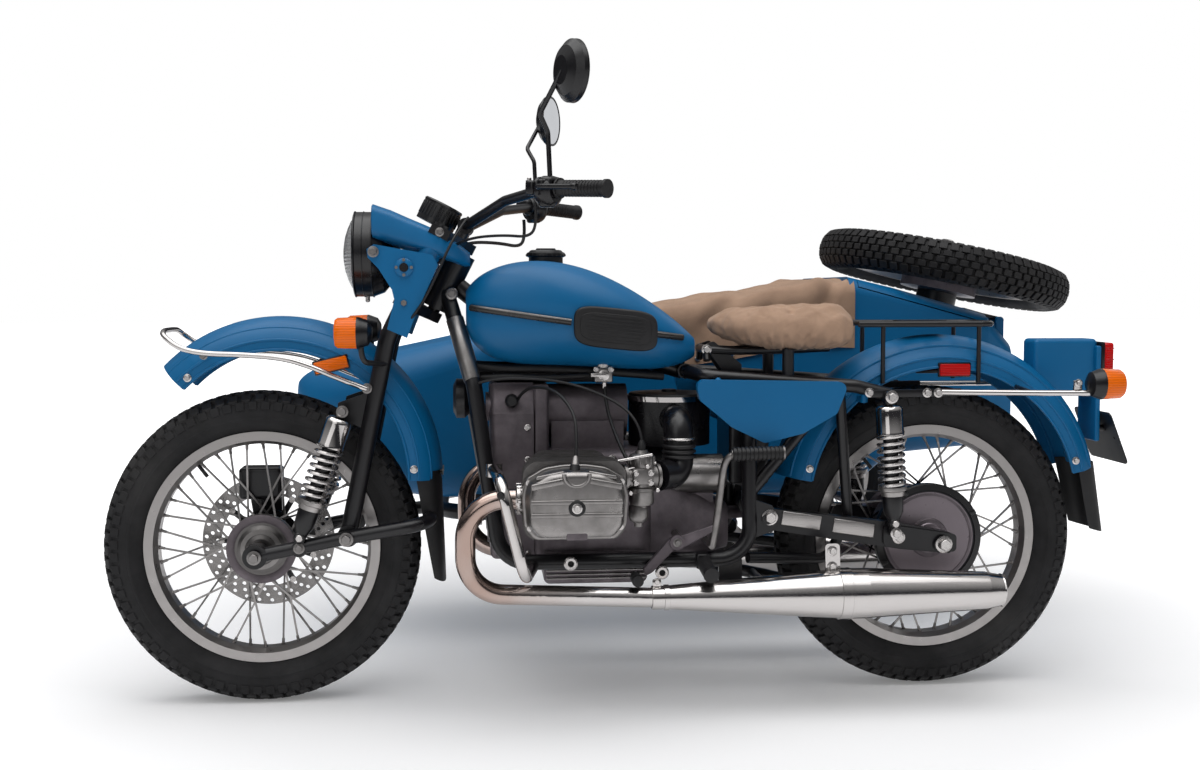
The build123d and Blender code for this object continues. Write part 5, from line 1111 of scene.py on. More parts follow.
def valve_cover(bm, x, side):
    """A cast valve cover with its ribs, plug notch and middle nut."""
    place = outward(x, side * 326.6, 482, side)
    prism(bm, place, COVER_OUTLINE, 13, corner=8, edge=3)
    dome = [(0.95 * px, 0.94 * pz) for px, pz in COVER_OUTLINE]
    prism(bm, place @ moved(0, 0, 0.012), dome, 46, corner=8, edge=11, taper=0.9, segments=5)
    for height, thick in ((6, 10), (-20, 10)):
        slab(bm, place @ moved(0, height * MM, 0.0585), (184, thick, 6), 2.6, 0, 3)
    for way in (1, -1):
        tilt = Matrix.Rotation(way * math.radians(-11), 4, "Z")
        slab(bm, place @ moved(way * 0.058, 0.042, 0.055) @ tilt, (66, 13, 9), 3, 0, 3)
        slab(bm, place @ moved(way * 0.052, 0.058, 0.0425) @ tilt, (58, 9, 14), 3, 0, 3)
    hoop(bm, place @ moved(0, 0.062, 0.0555), 25, 4.5, 0, 180, 180, 24)
    lathe(bm, place @ moved(0, -0.006, 0.055), [(0, 0), (17, 0), (17, 6), (13, 9), (0, 9)], 28, 1)
    bolt(bm, place @ Vector((0, -0.006, 0.063)), LEFT * side, 13, 2)
    slab(bm, place @ moved(0, -0.062, 0.0545), (42, 17, 6), 2.8, 3, 3)
    for px, pz in ((-92, -52), (92, -52), (-94, 40), (94, 40)):
        lathe(bm, place @ moved(px * MM, pz * MM, 0.012), [(0, 0), (7, 0), (6, 4), (0, 4)], 14, 2)


def spark_plug(bm, x, side):
    """A plug cap that stands out of a valve cover's notch."""
    foot, head = at(x + 4, side * 366, 530), at(x, side * 346, 572)
    place = facing(foot, head - foot)
    lathe(bm, place, [(0, -16), (13, -16), (14, 0), (13, 12), (11, 14), (10.4, 30), (0, 30)], 24, 1)
    lathe(bm, place, [(0, 29), (9, 29), (6.5, 46), (4.6, 50), (0, 50)], 20, 4)


def carburettor(bm, x, side):
    """A carburettor between the cylinder head and the air cleaner's elbow."""
    mid = Vector((x - 148, side * 226, 516))
    throat_front, throat_rear = at(x - 106, side * 236, 516), at(x - 184, side * 214, 516)
    length = (throat_rear - throat_front).length / MM
    lathe(bm, facing(throat_front, throat_rear - throat_front), [
        (0, 0), (29, 0), (29, 6), (23, 8), (23, 0.3 * length), (26, 0.34 * length), (26, 0.7 * length),
        (24, 0.74 * length), (24, length - 8), (27, length - 6), (27, length), (0, length)], 32, 0)
    lathe(bm, facing(at(*mid) - UP * 66 * MM, UP), [
        (0, 0), (12, 0), (14, 5), (24, 8), (26.5, 14), (26.5, 36), (29, 38), (29, 44), (23, 46),
        (23, 82), (26, 84), (27, 92), (27, 110), (24, 114), (14, 117), (12, 123), (0, 123)], 36, 0)
    for step in range(14):
        turn = Matrix.Rotation(step * math.tau / 14, 4, "Z")
        slab(bm, Matrix.Translation(at(*mid) + UP * 36 * MM) @ turn @ moved(0.0272, 0, 0), (3, 4, 16), 1)
    slab(bm, Matrix.Translation(at(*mid) + LEFT * side * 24 * MM + UP * 4 * MM), (44, 16, 34), 4, 0)
    for dx, dz in ((-16, 12), (16, 12), (-16, -8), (16, -8)):
        bolt(bm, at(mid.x + dx, mid.y + side * 32, mid.z + dz), LEFT * side, 8, 2)
    for dx, dz, reach in ((-30, -24, 20), (26, -30, 16), (-8, 26, 24)):
        spot = at(mid.x + dx, mid.y + side * 16, mid.z + dz)
        bar(bm, spot, spot + LEFT * side * reach * MM, 4.5, 5, 1)
    bar(bm, at(mid.x - 30, mid.y + side * 6, mid.z + 30), at(mid.x + 34, mid.y + side * 22, mid.z + 18), 3, 2)
    lathe(bm, facing(at(*mid) + UP * 56 * MM, UP), [(0, 0), (9, 0), (8, 14), (4, 22), (0, 22)], 18, 1)
    lathe(bm, facing(at(mid.x + 6, mid.y - side * 6, mid.z - 60), -UP), [
        (0, 0), (19, 0), (21, 4), (21, 26), (17, 34), (9, 38), (9, 46), (0, 48)], 28, 0)
    slab(bm, stood(mid.x + 46, mid.y + side * 4, mid.z - 40), (26, 40, 62), 5, 3, 3)
    for dz in (-20, -48):
        bolt(bm, at(mid.x + 46, mid.y + side * 24, mid.z + dz), LEFT * side, 9, 2)
    bar(bm, at(mid.x + 52, mid.y + side * 18, mid.z + 36),
        at(mid.x - 20, mid.y + side * 26, mid.z + 50), 3.4, 2)


class Engine(bpy.types.Operator):
    """Models valve covers, plug caps, carburettors and the fittings of the engine"""

    bl_idname = "sidecar.engine"
    bl_label = "Engine details"

    def execute(self, context):
        finishes = ["cover_metal", "soft_rubber", "bright_steel", "case_grey", "zinc", "chrome"]
        bm = bmesh.new()
        for x, side in HEADS:
            valve_cover(bm, x, side)
            spark_plug(bm, x, side)
        piece("ribbed_valve_covers", bm, "chassis", finishes, ["valve_covers"])
        bm = bmesh.new()
        for x, side in HEADS:
            carburettor(bm, x, side)
        piece("detailed_carburettors", bm, "chassis", ["zinc", *finishes[1:]],
              ["carburettors"])
        bm = bmesh.new()
        lathe(bm, facing(at(472.5, 62, 500), AHEAD), [
            (0, 0), (30, 0), (36, 3), (43.6, 8), (43.8, 14), (43.8, 108), (44.6, 109), (44.6, 118),
            (43.6, 119), (43.6, 127), (0, 127)], 48, 0)
        for side in SIDES:
            for height in (552, 563, 574):
                hoop(bm, stood(592, side * 166.5, height), 32.6, 4.4, 1, steps=40)
            hoop(bm, stood(592, side * 164.5, 590), 32.4, 3.2, 2, steps=40)
        lathe(bm, stood(590, 0, 662), [(96.2, 0), (97.4, 0), (97.4, 11), (96.2, 11)], 72, 5, closed=True)
        lathe(bm, stood(590, 0, 673), [(0, 0), (92, 0), (90, 5), (60, 7), (18, 7), (16, 12), (0, 12)],
              64, 1)
        for height, y in ((330, 87), (400, 95.5), (470, 96), (540, 95), (610, 94)):
            for side in SIDES:
                bolt(bm, at(984, side * (y - 12), height), AHEAD, 10, 2)
                bolt(bm, at(914, side * (y + 0.5), height), LEFT * side, 9, 2)
        stand_up = Matrix.Rotation(math.pi / 2, 4, "Z") @ Matrix.Rotation(math.pi / 2, 4, "X")
        outline = [(-58, 350), (58, 350), (70, 420), (66, 590), (-66, 590), (-70, 420)]
        prism(bm, stood(997, 0, 0) @ stand_up, outline, 5, corner=16, edge=3, finish=3)
        for height in (318, 336):
            slab(bm, stood(766, 108.6, height), (230, 5, 7), 2, 3)
        for x, z in ((809, 315), (690, 315), (720, 420), (880, 420), (730, 540), (880, 540)):
            bolt(bm, at(x, 108.4, z), LEFT, 12, 2)
            bolt(bm, at(x, -108.4, z), -LEFT, 12, 2)
        for height in range(290, 310, 9):
            for side in SIDES:
                slab(bm, stood(765, side * 96.5, height - 14), (220, 5, 3.6), 1.2, 0)
        slab(bm, stood(884, 0, 622), (34, 168, 164), 6, 3, 3)
        for side in SIDES:
            slab(bm, stood(884, side * 86, 566), (28, 14, 270), 5, 3, 3)
            for x, z in ((825, 321), (627, 298)):
                place = facing(at(x, side * 156, z), LEFT * side)
                lathe(bm, place, [(7, 0), (15, 0), (15, 6), (12, 9), (7, 9), (6, 4)], 28, 2, closed=True)
                lathe(bm, place, [(0, 0), (8, 0), (8, 5), (0, 5)], 16, 1)
            tube(bm, [(1040, side * 46, 742), (980, side * 66, 736), (900, side * 76, 738),
                      (800, side * 70, 734), (690, side * 60, 726), (610, side * 52, 718)], 20, 1)
            tube(bm, [(1030, side * 70, 716), (960, side * 86, 724), (880, side * 88, 716),
                      (780, side * 78, 722)], 13, 1)
            place = facing(at(948, side * 82, 668), LEFT * side)
            lathe(bm, place, [(0, 0), (15, 0), (14, 16), (10, 22), (0, 22)], 24, 1)
        slab(bm, stood(862, 0, 722), (250, 96, 34), 12, 1, 3)
        slab(bm, stood(748, 86, 724), (40, 30, 34), 4, 0, 3)
        lathe(bm, facing(at(748, 86, 746), -UP), [(0, -6), (15, -6), (15, 6), (0, 6)], 24, 2)
        lathe(bm, facing(at(748, 100, 724), LEFT), [(0, 0), (12, 0), (12, 8), (7, 10), (0, 10)], 24, 2)
        slab(bm, stood(760, 108, 724), (34, 5, 9), 2, 2)
        for x in (732, 764):
            bolt(bm, at(x, 101, 736), LEFT, 8, 2)
        bar(bm, at(745, 86, 708), at(745, 84, 694), 5, 2)
        piece("engine_fittings", bm, "chassis", finishes)
        return {"FINISHED"}


# Exhaust, tank and fenders

class ExhaustDetails(bpy.types.Operator):
    """Adds exhaust clamps, bands and outlet linings"""

    bl_idname = "sidecar.exhaust_details"
    bl_label = "Exhaust details"

    def execute(self, context):
        bm = bmesh.new()
        for side, silencer_y, head_x in ((1, 205, 828), (-1, 258, 792)):
            start, end = at(650, side * (silencer_y + 12), 256), at(-112, side * silencer_y, 254)
            along = (end - start).normalized()
            for reach, radius, wide in ((-8, 24.5, 22), (18, 26.6, 12), (396, 54.4, 26), (418, 54.9, 6)):
                place = facing(start + along * reach * MM, along)
                lathe(bm, place, [(radius - 2, 0), (radius + 0.8, 1), (radius + 0.8, wide - 1),
                                  (radius - 2, wide)], 56, 0, closed=True)
            lathe(bm, facing(end, along),
                  [(26, -36), (33.5, -3), (36, 0.8), (34, 2.2), (26, 1.5), (24, -30)], 48, 0, closed=True)
            lathe(bm, facing(end - along * 34 * MM, along), [(0, 0), (25, 0), (25, 2), (0, 2)], 40, 1)
            bolt(bm, start + Vector((0, 0, 0.034)) + along * 4 * MM, LEFT * side, 10, 2)
            slab(bm, Matrix.Translation(start + Vector((0, 0, 0.03)) + along * 4 * MM), (18, 10, 18), 2, 0)
            lathe(bm, facing(at(head_x + 104, side * 284, 482), AHEAD), [
                (22, 0), (30, 0), (31, 2), (31, 12), (28, 15), (22, 15)], 40, 2, closed=True)
            for turn in range(6):
                spin = Matrix.Rotation(turn * math.tau / 6, 4, "Z")
                slab(bm, facing(at(head_x + 111, side * 284, 482), AHEAD) @ spin @ moved(0.031, 0, 0),
                     (5, 8, 12), 1.5, 2)
            for height in (346, 312):
                bolt(bm, at(262, side * (silencer_y - 3.6), height), LEFT * side, 14, 2)
        piece("exhaust_fittings", bm, "chassis", ["exhaust_steel", "moulded_black", "bright_steel"])
        return {"FINISHED"}


def pad_outline(half_length, half_height, count=40):
    """A rounded knee-pad outline that falls a little towards the rear."""
    outline = []
    for step in range(count):
        turn = step * math.tau / count
        along = math.copysign(abs(math.cos(turn)) ** 0.44, math.cos(turn)) * half_length
        height = math.copysign(abs(math.sin(turn)) ** 0.52, math.sin(turn)) * half_height
        outline.append((along, height + 0.1 * along))
    return outline


class TankDetails(bpy.types.Operator):
    """Models the tank's trim strips, each with a painted highlight line, its ribbed knee pads and the rim of
    its filler cap
    """

    bl_idname = "sidecar.tank_details"
    bl_label = "Tank details"

    def execute(self, context):
        for side in SIDES:
            for name, stops in (("front", (1034, 1022, 1004, 970, 930, 880, 850, 822)),
                                ("rear", (636, 622, 610, 598, 586, 574))):
                spots = []
                for x in stops:
                    height = 871 - (1034 - x) * 0.145
                    spot, normal = surface_ray("fuel_tank", at(x, side * 260, height), -LEFT * side)
                    spots.append(spot + normal * 0.0008)
                # Each dark strip gets a thin grey zinc line on its upper outer edge: a painted highlight
                # where light falls on the strip
                for label, wide, tone in (("strip", 0.015, "dark_trim"), ("line", 0.0046, "zinc")):
                    lift = Vector((0, 0, 0)) if label == "strip" else LEFT * side * 0.0052 + UP * 0.0044
                    trim = spline_curve(f"tank_{name}_{label}_{'left' if side > 0 else 'right'}",
                                        [spot + lift for spot in spots], wide)
                    trim.data.materials.append(finish(tone))
                    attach(trim, "chassis")
        bm = bmesh.new()
        for side in SIDES:
            place = outward(727, side * 138, 826, side)
            prism(bm, place, pad_outline(90, 44), 27, edge=5)
            prism(bm, place @ moved(0, 0, 0.0262), pad_outline(77, 31), 2.6, edge=1.6)
            for step in range(8):
                wide = 132 - abs(step - 3.5) * 8
                tilt = place @ Matrix.Rotation(math.radians(5.7), 4, "Z")
                slab(bm, tilt @ moved(0, (step - 3.5) * 0.0072, 0.0286), (wide, 3.2, 2.6), 1)
        cap = stood(868, 0, 986)
        lathe(bm, cap, [(0, 11), (14, 13), (26, 12), (34, 9), (42, 6), (43.5, 3), (43.5, -2), (40, -4),
                        (36, -4), (0, -4)], 56, 1)
        for step in range(24):
            turn = cap @ Matrix.Rotation(step * math.tau / 24, 4, "Z")
            slab(bm, turn @ moved(0.0432, 0, 0.0005), (3, 4, 5), 1, 1)
        slab(bm, cap @ moved(0, 0, 0.013), (44, 14, 6), 2.5, 1)
        piece("tank_rubber", bm, "chassis", ["soft_rubber", "moulded_black"], ["knee_pads"])
        return {"FINISHED"}


FENDERS = {
    # centre x, y, z, radius, half width, front angle, rear angle, body
    "front": (1451, 0, 503, 350, 70, 46, 92, "steering"),
    "rear": (-27, 0, 426, 381, 78, 80, 78, "chassis"),
    "sidecar": (48, -1130, 426, 381, 78, 72, 80, "chassis"),
}


def mud_flap(bm, top, low, top_depth, low_depth, half, forward):
    """A rubber flap with the fender's round section, narrower at its tip. Ends are x and z of its middle."""
    with shape(bm, None, 0) as part:
        bmesh.ops.create_grid(part, x_segments=24, y_segments=18, size=1.0)
        for vert in part.verts:
            across = vert.co.x
            down = (1 - vert.co.y) / 2
            depth = top_depth + (low_depth - top_depth) * down
            x = top[0] + (low[0] - top[0]) * down + forward * depth * abs(across) ** 2.4
            z = top[1] + (low[1] - top[1]) * down + 12 * down ** 3 * abs(across) ** 3
            vert.co = at(x, math.sin(across * math.pi / 2) * (half - 8 * down), z)
        bmesh.ops.solidify(part, geom=part.faces[:], thickness=4 * MM)


class FenderDetails(bpy.types.Operator):
    """Adds the fenders' raised lines, reflectors and fixings, and models the flaps"""

    bl_idname = "sidecar.fender_details"
    bl_label = "Fender details"

    def execute(self, context):
        bead = context.scene.sidecar_sizes.bead_radius / MM
        for name, (x, y, z, radius, half, front, rear, body) in FENDERS.items():
            bm = bmesh.new()
            for side in SIDES:
                for offset, reach in ((half - 1.2, radius - 50), (half - 0.6, radius - 71.4),
                                      (half - 17, radius - 24.5)):
                    place = outward(x, y, z, -1) @ moved(0, 0, -side * offset * MM)
                    hoop(bm, place, reach, bead, 0, 90.5 - front, front + rear - 1, 72)
                for angle in (90 - front + 5, 90 + rear - 5):
                    turn = math.radians(angle)
                    spot = at(x + (radius - 60) * math.cos(turn), y + side * (half + 0.4),
                              z + (radius - 60) * math.sin(turn))
                    bolt(bm, spot, LEFT * side, 11, 1)
            if name == "front":
                for side in SIDES:
                    tilt = Matrix.Rotation(math.radians(-13), 4, "Z")
                    slab(bm, outward(1337, side * 72, 748, side) @ tilt, (72, 26, 12), 3, 2)
                    slab(bm, outward(1337, side * 70, 748, side) @ tilt, (78, 32, 8), 3, 3)
            if name == "rear":
                for side in SIDES:
                    slab(bm, outward(-46, side * 80.5, 729, side), (70, 27, 12), 3, 4)
                    slab(bm, outward(-46, side * 78.5, 729, side), (76, 33, 8), 3, 3)
            if name != "sidecar":
                flap = bmesh.new()
                if name == "front":
                    mud_flap(flap, (1103, 512), (1095, 266), 56, 25, 64, 1)
                else:
                    mud_flap(flap, (-400, 512), (-425, 352), 54, 46, 64, 1)
                piece(f"{name}_mud_flap", flap, body, ["soft_rubber"], [f"{name}_flap"])
            piece(f"{name}_fender_fittings", bm, body,
                  ["body_blue", "bright_steel", "amber_lens", "moulded_black", "red_lens"])
        return {"FINISHED"}


# Lamps and handlebar

def turn_lamp(bm, spot, direction, radius, reach):
    """A turn lamp: black base and a stepped amber lens."""
    place = facing(spot, direction)
    base = 0.36 * reach
    lathe(bm, place, [(0, 0), (0.4 * radius, 0), (0.78 * radius, 0.1 * reach), (0.95 * radius, 0.3 * reach),
                      (radius, base), (radius, base + 3), (0, base + 3)], 40, 0)
    lathe(bm, place, [(0, base), (0.97 * radius, base), (0.99 * radius, base + 6),
                      (0.94 * radius, 0.9 * reach), (0.82 * radius, 0.97 * reach), (0.5 * radius, reach),
                      (0, reach)], 40, 1)


COWL_RINGS = (
    # x, width, low, high
    (1245, 190, 1024, 1090), (1244, 200, 1018, 1095), (1206, 206, 1006, 1082), (1170, 220, 996, 1066),
    (1130, 238, 988, 1049), (1098, 244, 978, 1034), (1074, 222, 970, 1020), (1048, 160, 960, 1000),
    (1036, 122, 962, 990),
)


class Lamps(bpy.types.Operator):
    """Models the headlamp's lens and cowl, the fender bar, the turn lamps and the tail lamps"""

    bl_idname = "sidecar.lamps"
    bl_label = "Lamps"

    def execute(self, context):
        finishes = ["moulded_black", "amber_lens", "chrome", "red_lens", "clear_lens", "frame_black",
                    "bright_steel", "body_blue", "zinc"]
        bm = bmesh.new()
        place = facing(at(1283, 0, 988), AHEAD)
        lathe(bm, place, [(0, 1), (40, 1.6), (80, 6.5), (80, 0.3), (0, 0.3)], 64, 2)
        lathe(bm, place, [(0, 1), (13, 1), (12, 9), (0, 11)], 24, 2)
        lathe(bm, place, [
            (80.6, 3), (80.6, 6.5), (72, 13), (58, 19.5), (40, 25.5), (20, 29.2), (0, 30.2),
            (0, 27.8), (20, 26.8), (40, 23), (58, 17), (71, 10.5), (79, 4.5)], 72, 4)
        piece("headlamp_glass", bm, "steering", finishes, ["headlamp_lens"])
        bm = bmesh.new()
        for radius, height, thick in ((93.2, 1, 1.6), (93.2, -18, 1.2), (93.2, -38, 1.6)):
            hoop(bm, facing(at(1286 + height, 0, 988), AHEAD), radius, thick, 0, steps=80)
        bar(bm, at(1262, 0, 897), at(1262, 0, 884), 5, 6)
        bar(bm, at(1262, -12, 886), at(1262, 12, 886), 3.5, 6)
        for side in SIDES:
            bolt(bm, at(1240, side * 131.5, 990), LEFT * side, 15, 8)
            lathe(bm, facing(at(1176, side * 125.4, 957), LEFT * side),
                  [(0, 0), (20, 0), (20, 4), (16, 7), (0, 7)], 32, 7)
            lathe(bm, facing(at(1176, side * 132, 957), LEFT * side),
                  [(0, 0), (10, 0), (9, 3), (0, 3)], 24, 0)
            for step in range(4):
                spin = step * math.pi / 2
                lathe(bm, facing(at(1176 + 16 * math.cos(spin), side * 127, 957 + 16 * math.sin(spin)),
                                 LEFT * side), [(0, 0), (3.4, 0), (3.4, 7.4), (0, 7.4)], 12, 8)
        piece("headlamp_fittings", bm, "steering", finishes)
        bm = bmesh.new()
        ring_skin(bm, COWL_RINGS, 0, 0.4, sides=56)
        piece("lamp_cowl", bm, "steering", ["body_blue"])
        bm = bmesh.new()
        half = [(1258, 114, 698), (1320, 115, 722), (1375, 115, 747), (1435, 114, 766), (1523, 113, 773),
                (1598, 112, 775), (1650, 108, 786), (1684, 98, 812), (1690, 74, 822), (1691, 30, 823)]
        tube(bm, half + mirrored(reversed(half)), 12, 0)
        for side in SIDES:
            bar(bm, at(1600, side * 109, 774), at(1600, side * 70.5, 771), 4.5, 0)
        piece("bent_fender_bar", bm, "steering", ["chrome"], ["fender_bar"])
        bm = bmesh.new()
        for side in SIDES:
            turn_lamp(bm, at(1243, side * 152, 819), AHEAD, 34, 79)
            tube(bm, [(1266, side * 152, 792), (1266, side * 151, 758), (1240, side * 128, 753),
                      (1216, side * 104, 751)], 12, 5)
        piece("front_turn_lamps", bm, "steering", finishes, ["front_indicators"])
        bm = bmesh.new()
        for side in SIDES:
            turn_lamp(bm, at(-306, side * 190, 702), -AHEAD, 34, 79)
            place = outward(66, side * 141, 682, side) @ Matrix.Rotation(math.radians(-1), 4, "Z")
            slab(bm, place @ Matrix.Rotation(math.radians(6) * side, 4, "Y"), (206, 17, 7), 2, 5)
            for x, y in ((164, 133), (40, 150), (16, 153)):
                bolt(bm, at(x, side * y, 683), LEFT * side, 13, 6)
            tube(bm, [(10, side * 149, 684), (-90, side * 158, 683), (-200, side * 171, 682),
                      (-250, side * 178, 682), (-300, side * 185, 682), (-322, side * 188, 683)], 13, 2)
            slab(bm, stood(-290, side * 176, 697), (20, 10, 26), 3, 6)
            bolt(bm, at(-290, side * 181, 704), LEFT * side, 11, 6)
            bar(bm, at(-190, side * 78.5, 690), at(-190, side * 168, 683), 5, 5)
        piece("rear_turn_lamps", bm, "chassis", finishes, ["rear_indicators"])
        bm = bmesh.new()
        slab(bm, stood(-409, 0, 748), (10, 92, 82), 4, 0)
        slab(bm, stood(-424, 0, 748), (24, 88, 78), 6, 3, 4)
        for height in (722, 748, 774):
            slab(bm, stood(-424, 0, height), (25, 89.2, 1.6), 0.5, 3, 1)
        for x, facing_x, tone in ((190, 1, 4), (-180, -1, 3)):
            place = facing(at(x, -1130, 788), AHEAD * facing_x)
            lathe(bm, place, [(0, 0), (14, 0), (24, 8), (28, 18), (28.5, 26), (0, 26)], 36, 2)
            lathe(bm, place, [(0, 25), (27, 25), (27, 40), (22, 48), (10, 52), (0, 52)], 36, tone)
            foot = 803 if facing_x > 0 else 776
            bar(bm, at(x + facing_x * 14, -1130, 788), at(x + facing_x * 14, -1130, foot - 40), 9, 0)
        piece("tail_and_sidecar_lamps", bm, "chassis", finishes, ["lamps"])
        return {"FINISHED"}


BAR_END = Vector((770, 400, 1105))
BAR_BEND = Vector((880, 305, 1112))


class BarDetails(bpy.types.Operator):
    """Models grips, hand levers and switches, and adds mirror glass and the speedometer's dial"""

    bl_idname = "sidecar.bar_details"
    bl_label = "Handlebar details"

    def execute(self, context):
        finishes = ["soft_rubber", "moulded_black", "mirror_glass", "bright_steel", "dial_white",
                    "clear_lens"]
        bm = bmesh.new()
        run = (BAR_BEND - BAR_END).normalized()
        for side in SIDES:
            flip = Vector((1, side, 1))
            for step in range(12):
                hoop(bm, facing(at(*((BAR_END + run * (14 + step * 7.6)) * flip)), run * flip), 15.8, 1.3, 0,
                     steps=28, sides=6)
            lathe(bm, facing(at(*((BAR_END + run * 112) * flip)), run * flip),
                  [(11, 0), (21, 0), (21, 4), (11, 4)], 28, 0, closed=True)
            lathe(bm, facing(at(*((BAR_END - run * 4) * flip)), run * flip), [
                (0, 0), (18.6, 0), (18.6, 7), (16, 12), (15.4, 60), (16, 112), (19, 118), (19, 122),
                (11, 122)], 32, 0)
            ahead = Vector((-run.y, run.x, 0)).normalized()
            perch = BAR_END + run * 142 + ahead * 20
            lever = [perch, perch + ahead * 38 - run * 4, perch + ahead * 44 - run * 60,
                     perch + ahead * 46 - run * 112]
            tube(bm, [point * flip for point in lever], 11, 1)
            lathe(bm, facing(at(*(lever[-1] * flip)), run * flip),
                  [(0, -7), (6, -6), (8, 0), (6, 6), (0, 7)], 16, 1)
            bar(bm, at(*((perch + UP * 16) * flip)), at(*((perch - UP * 16) * flip)), 11, 1, 2)
            bar(bm, at(*((BAR_END + run * 128) * flip)), at(*((BAR_END + run * 168) * flip)), 23, 1, 3)
            lathe(bm, facing(at(*((BAR_END + run * 122 - UP * 6) * flip)), run * flip), [
                (0, 0), (22, 0), (30, 7), (31, 12), (31, 30), (27, 38), (0, 38)], 32, 1)
            switch = (BAR_END + run * 139) * flip
            slab(bm, facing(at(*switch), run * flip), (46, 46, 36), 9, 1, 3)
            slab(bm, stood(switch.x + 6, switch.y, switch.z - 27), (34, 26, 22), 6, 1, 3)
            for dx, dz in ((-20, 12), (-20, -6)):
                spot = at(switch.x + dx, switch.y, switch.z + dz)
                bar(bm, spot, spot - AHEAD * 9 * MM, 5, 3 if dz > 0 else 0)
            perch = (BAR_END + run * 164) * flip
            slab(bm, facing(at(perch.x + 10, perch.y, perch.z), run * flip), (44, 30, 22), 6, 1, 3)
            bolt(bm, at(perch.x + 22, perch.y, perch.z + 14), UP, 9, 3)
            toe = math.radians(24)
            face = Vector((-math.cos(toe), -side * math.sin(toe), 0))
            mid = at(846, side * 400, 1331)
            lathe(bm, facing(mid + face * 15 * MM, face), [(0, 0), (56, 0), (56, 0.8), (0, 1.4)], 56, 2)
            lathe(bm, facing(mid + face * 14 * MM, face),
                  [(56, 0), (61.4, 0), (61.4, 2.4), (58, 3.2), (56, 2)], 56, 1, closed=True)
        turned = Matrix((STEERING_AHEAD, LEFT, STEERING_AXIS)).transposed().to_4x4()
        dial = Matrix.Translation(on_steering(143.2, 0, 82)) @ turned
        lathe(bm, dial, [(38, -3), (44.6, -3), (45, 0), (43, 3), (39, 3.5)], 56, 1, closed=True)
        lathe(bm, dial, [(0, 0.2), (38.5, 0.2), (38.5, 1), (0, 1)], 56, 1)
        for step in range(13):
            turn = dial @ Matrix.Rotation(math.radians(30 + step * 25), 4, "Z")
            slab(bm, turn @ moved(-0.031, 0, 0.0012), (8 if step % 2 == 0 else 5, 1.6, 0.6), 0.2, 4, 1)
        slab(bm, dial @ Matrix.Rotation(math.radians(50), 4, "Z") @ moved(-0.012, 0, 0.0018),
             (30, 1.8, 0.8), 0.3, 4, 1)
        lathe(bm, dial, [(0, 2.2), (38.4, 2.2), (38.4, 3), (0, 3)], 48, 5)
        for step in range(30):
            turn = Matrix.Rotation(step * math.tau / 30, 4, "Z")
            slab(bm, dial @ turn @ moved(0.0441, 0, -0.021), (1.8, 4.4, 30), 0.6, 0, 1)
        piece("bar_fittings", bm, "steering", finishes, ["bar_controls"])
        return {"FINISHED"}


# Arms, pedals and sidecar trim

class Fasteners(bpy.types.Operator):
    """Adds the arm's bright plates, the frame's sleeves and the bolts of fork, arm and frame"""

    bl_idname = "sidecar.fasteners"
    bl_label = "Plates and bolts"

    def execute(self, context):
        bm = bmesh.new()
        lean = Matrix.Rotation(math.radians(8.8), 4, "Z")
        for side in SIDES:
            for x, z, wide in ((314, 402, 88), (196, 383, 94)):
                slab(bm, outward(x, side * 131.4, z, side) @ lean, (wide, 31, 5), 2, 1, 3)
            for x, z, y, wide in ((387, 412, 143.4, 22), (96, 362, 138.4, 18), (-4, 346, 147, 24),
                                  (112, 376, 170.5, 16)):
                bolt(bm, at(x, side * y, z), LEFT * side, wide, 0)
            bolt(bm, at(126, side * 172.5, 676), LEFT * side, 18, 0)
            bolt(bm, at(988, side * 176, 526), LEFT * side, 14, 0)
            bolt(bm, at(978, side * 358, 500), LEFT * side, 10, 2)
            bolt(bm, at(512, side * 46.5, 776), LEFT * side, 14, 0)
        for y in (-73, 73):
            bolt(bm, at(-428.8, y, 571), Vector((-0.934, 0, 0.358)), 10, 0)
        for side in SIDES:
            sleeve = facing(at(1033, side * 100, 714), at(1071, side * 44, 845) - at(1033, side * 100, 714))
            lathe(bm, sleeve, [(16.6, 0), (18.4, 0), (19, 2), (19, 146), (18.2, 148), (16.6, 148)], 36, 3,
                  closed=True)
            bar(bm, at(1077, side * 20, 901), at(1077, side * 46, 901), 14, 3, 2)
            bolt(bm, at(1077, side * 46, 901), LEFT * side, 15, 3)
        piece("chassis_bolts", bm, "chassis",
              ["bright_steel", "brushed_plate", "moulded_black", "zinc"])
        bm = bmesh.new()
        for side in SIDES:
            for x, z, y, wide in ((1302, 381, 156.5, 19), (1495, 345, 156.5, 19), (1402, 362, 146.5, 15),
                                  (1307, 653, 151, 16), (1248, 660, 101.5, 13)):
                bolt(bm, at(x, side * y, z), LEFT * side, wide, 0)
            bolt(bm, at(1258, side * 109.5, 699), LEFT * side, 14, 0)
            bolt(bm, at(1600, side * 104.5, 771), LEFT * side, 11, 0)
            for y in (30, -30):
                bolt(bm, at(1099.5, y, 508), AHEAD, 9, 0)
        for along in (-85, 84):
            for side in SIDES:
                bolt(bm, on_steering(along, side * 121.4, 60), LEFT * side, 12, 0)
        piece("fork_bolts", bm, "steering", ["zinc"])
        return {"FINISHED"}


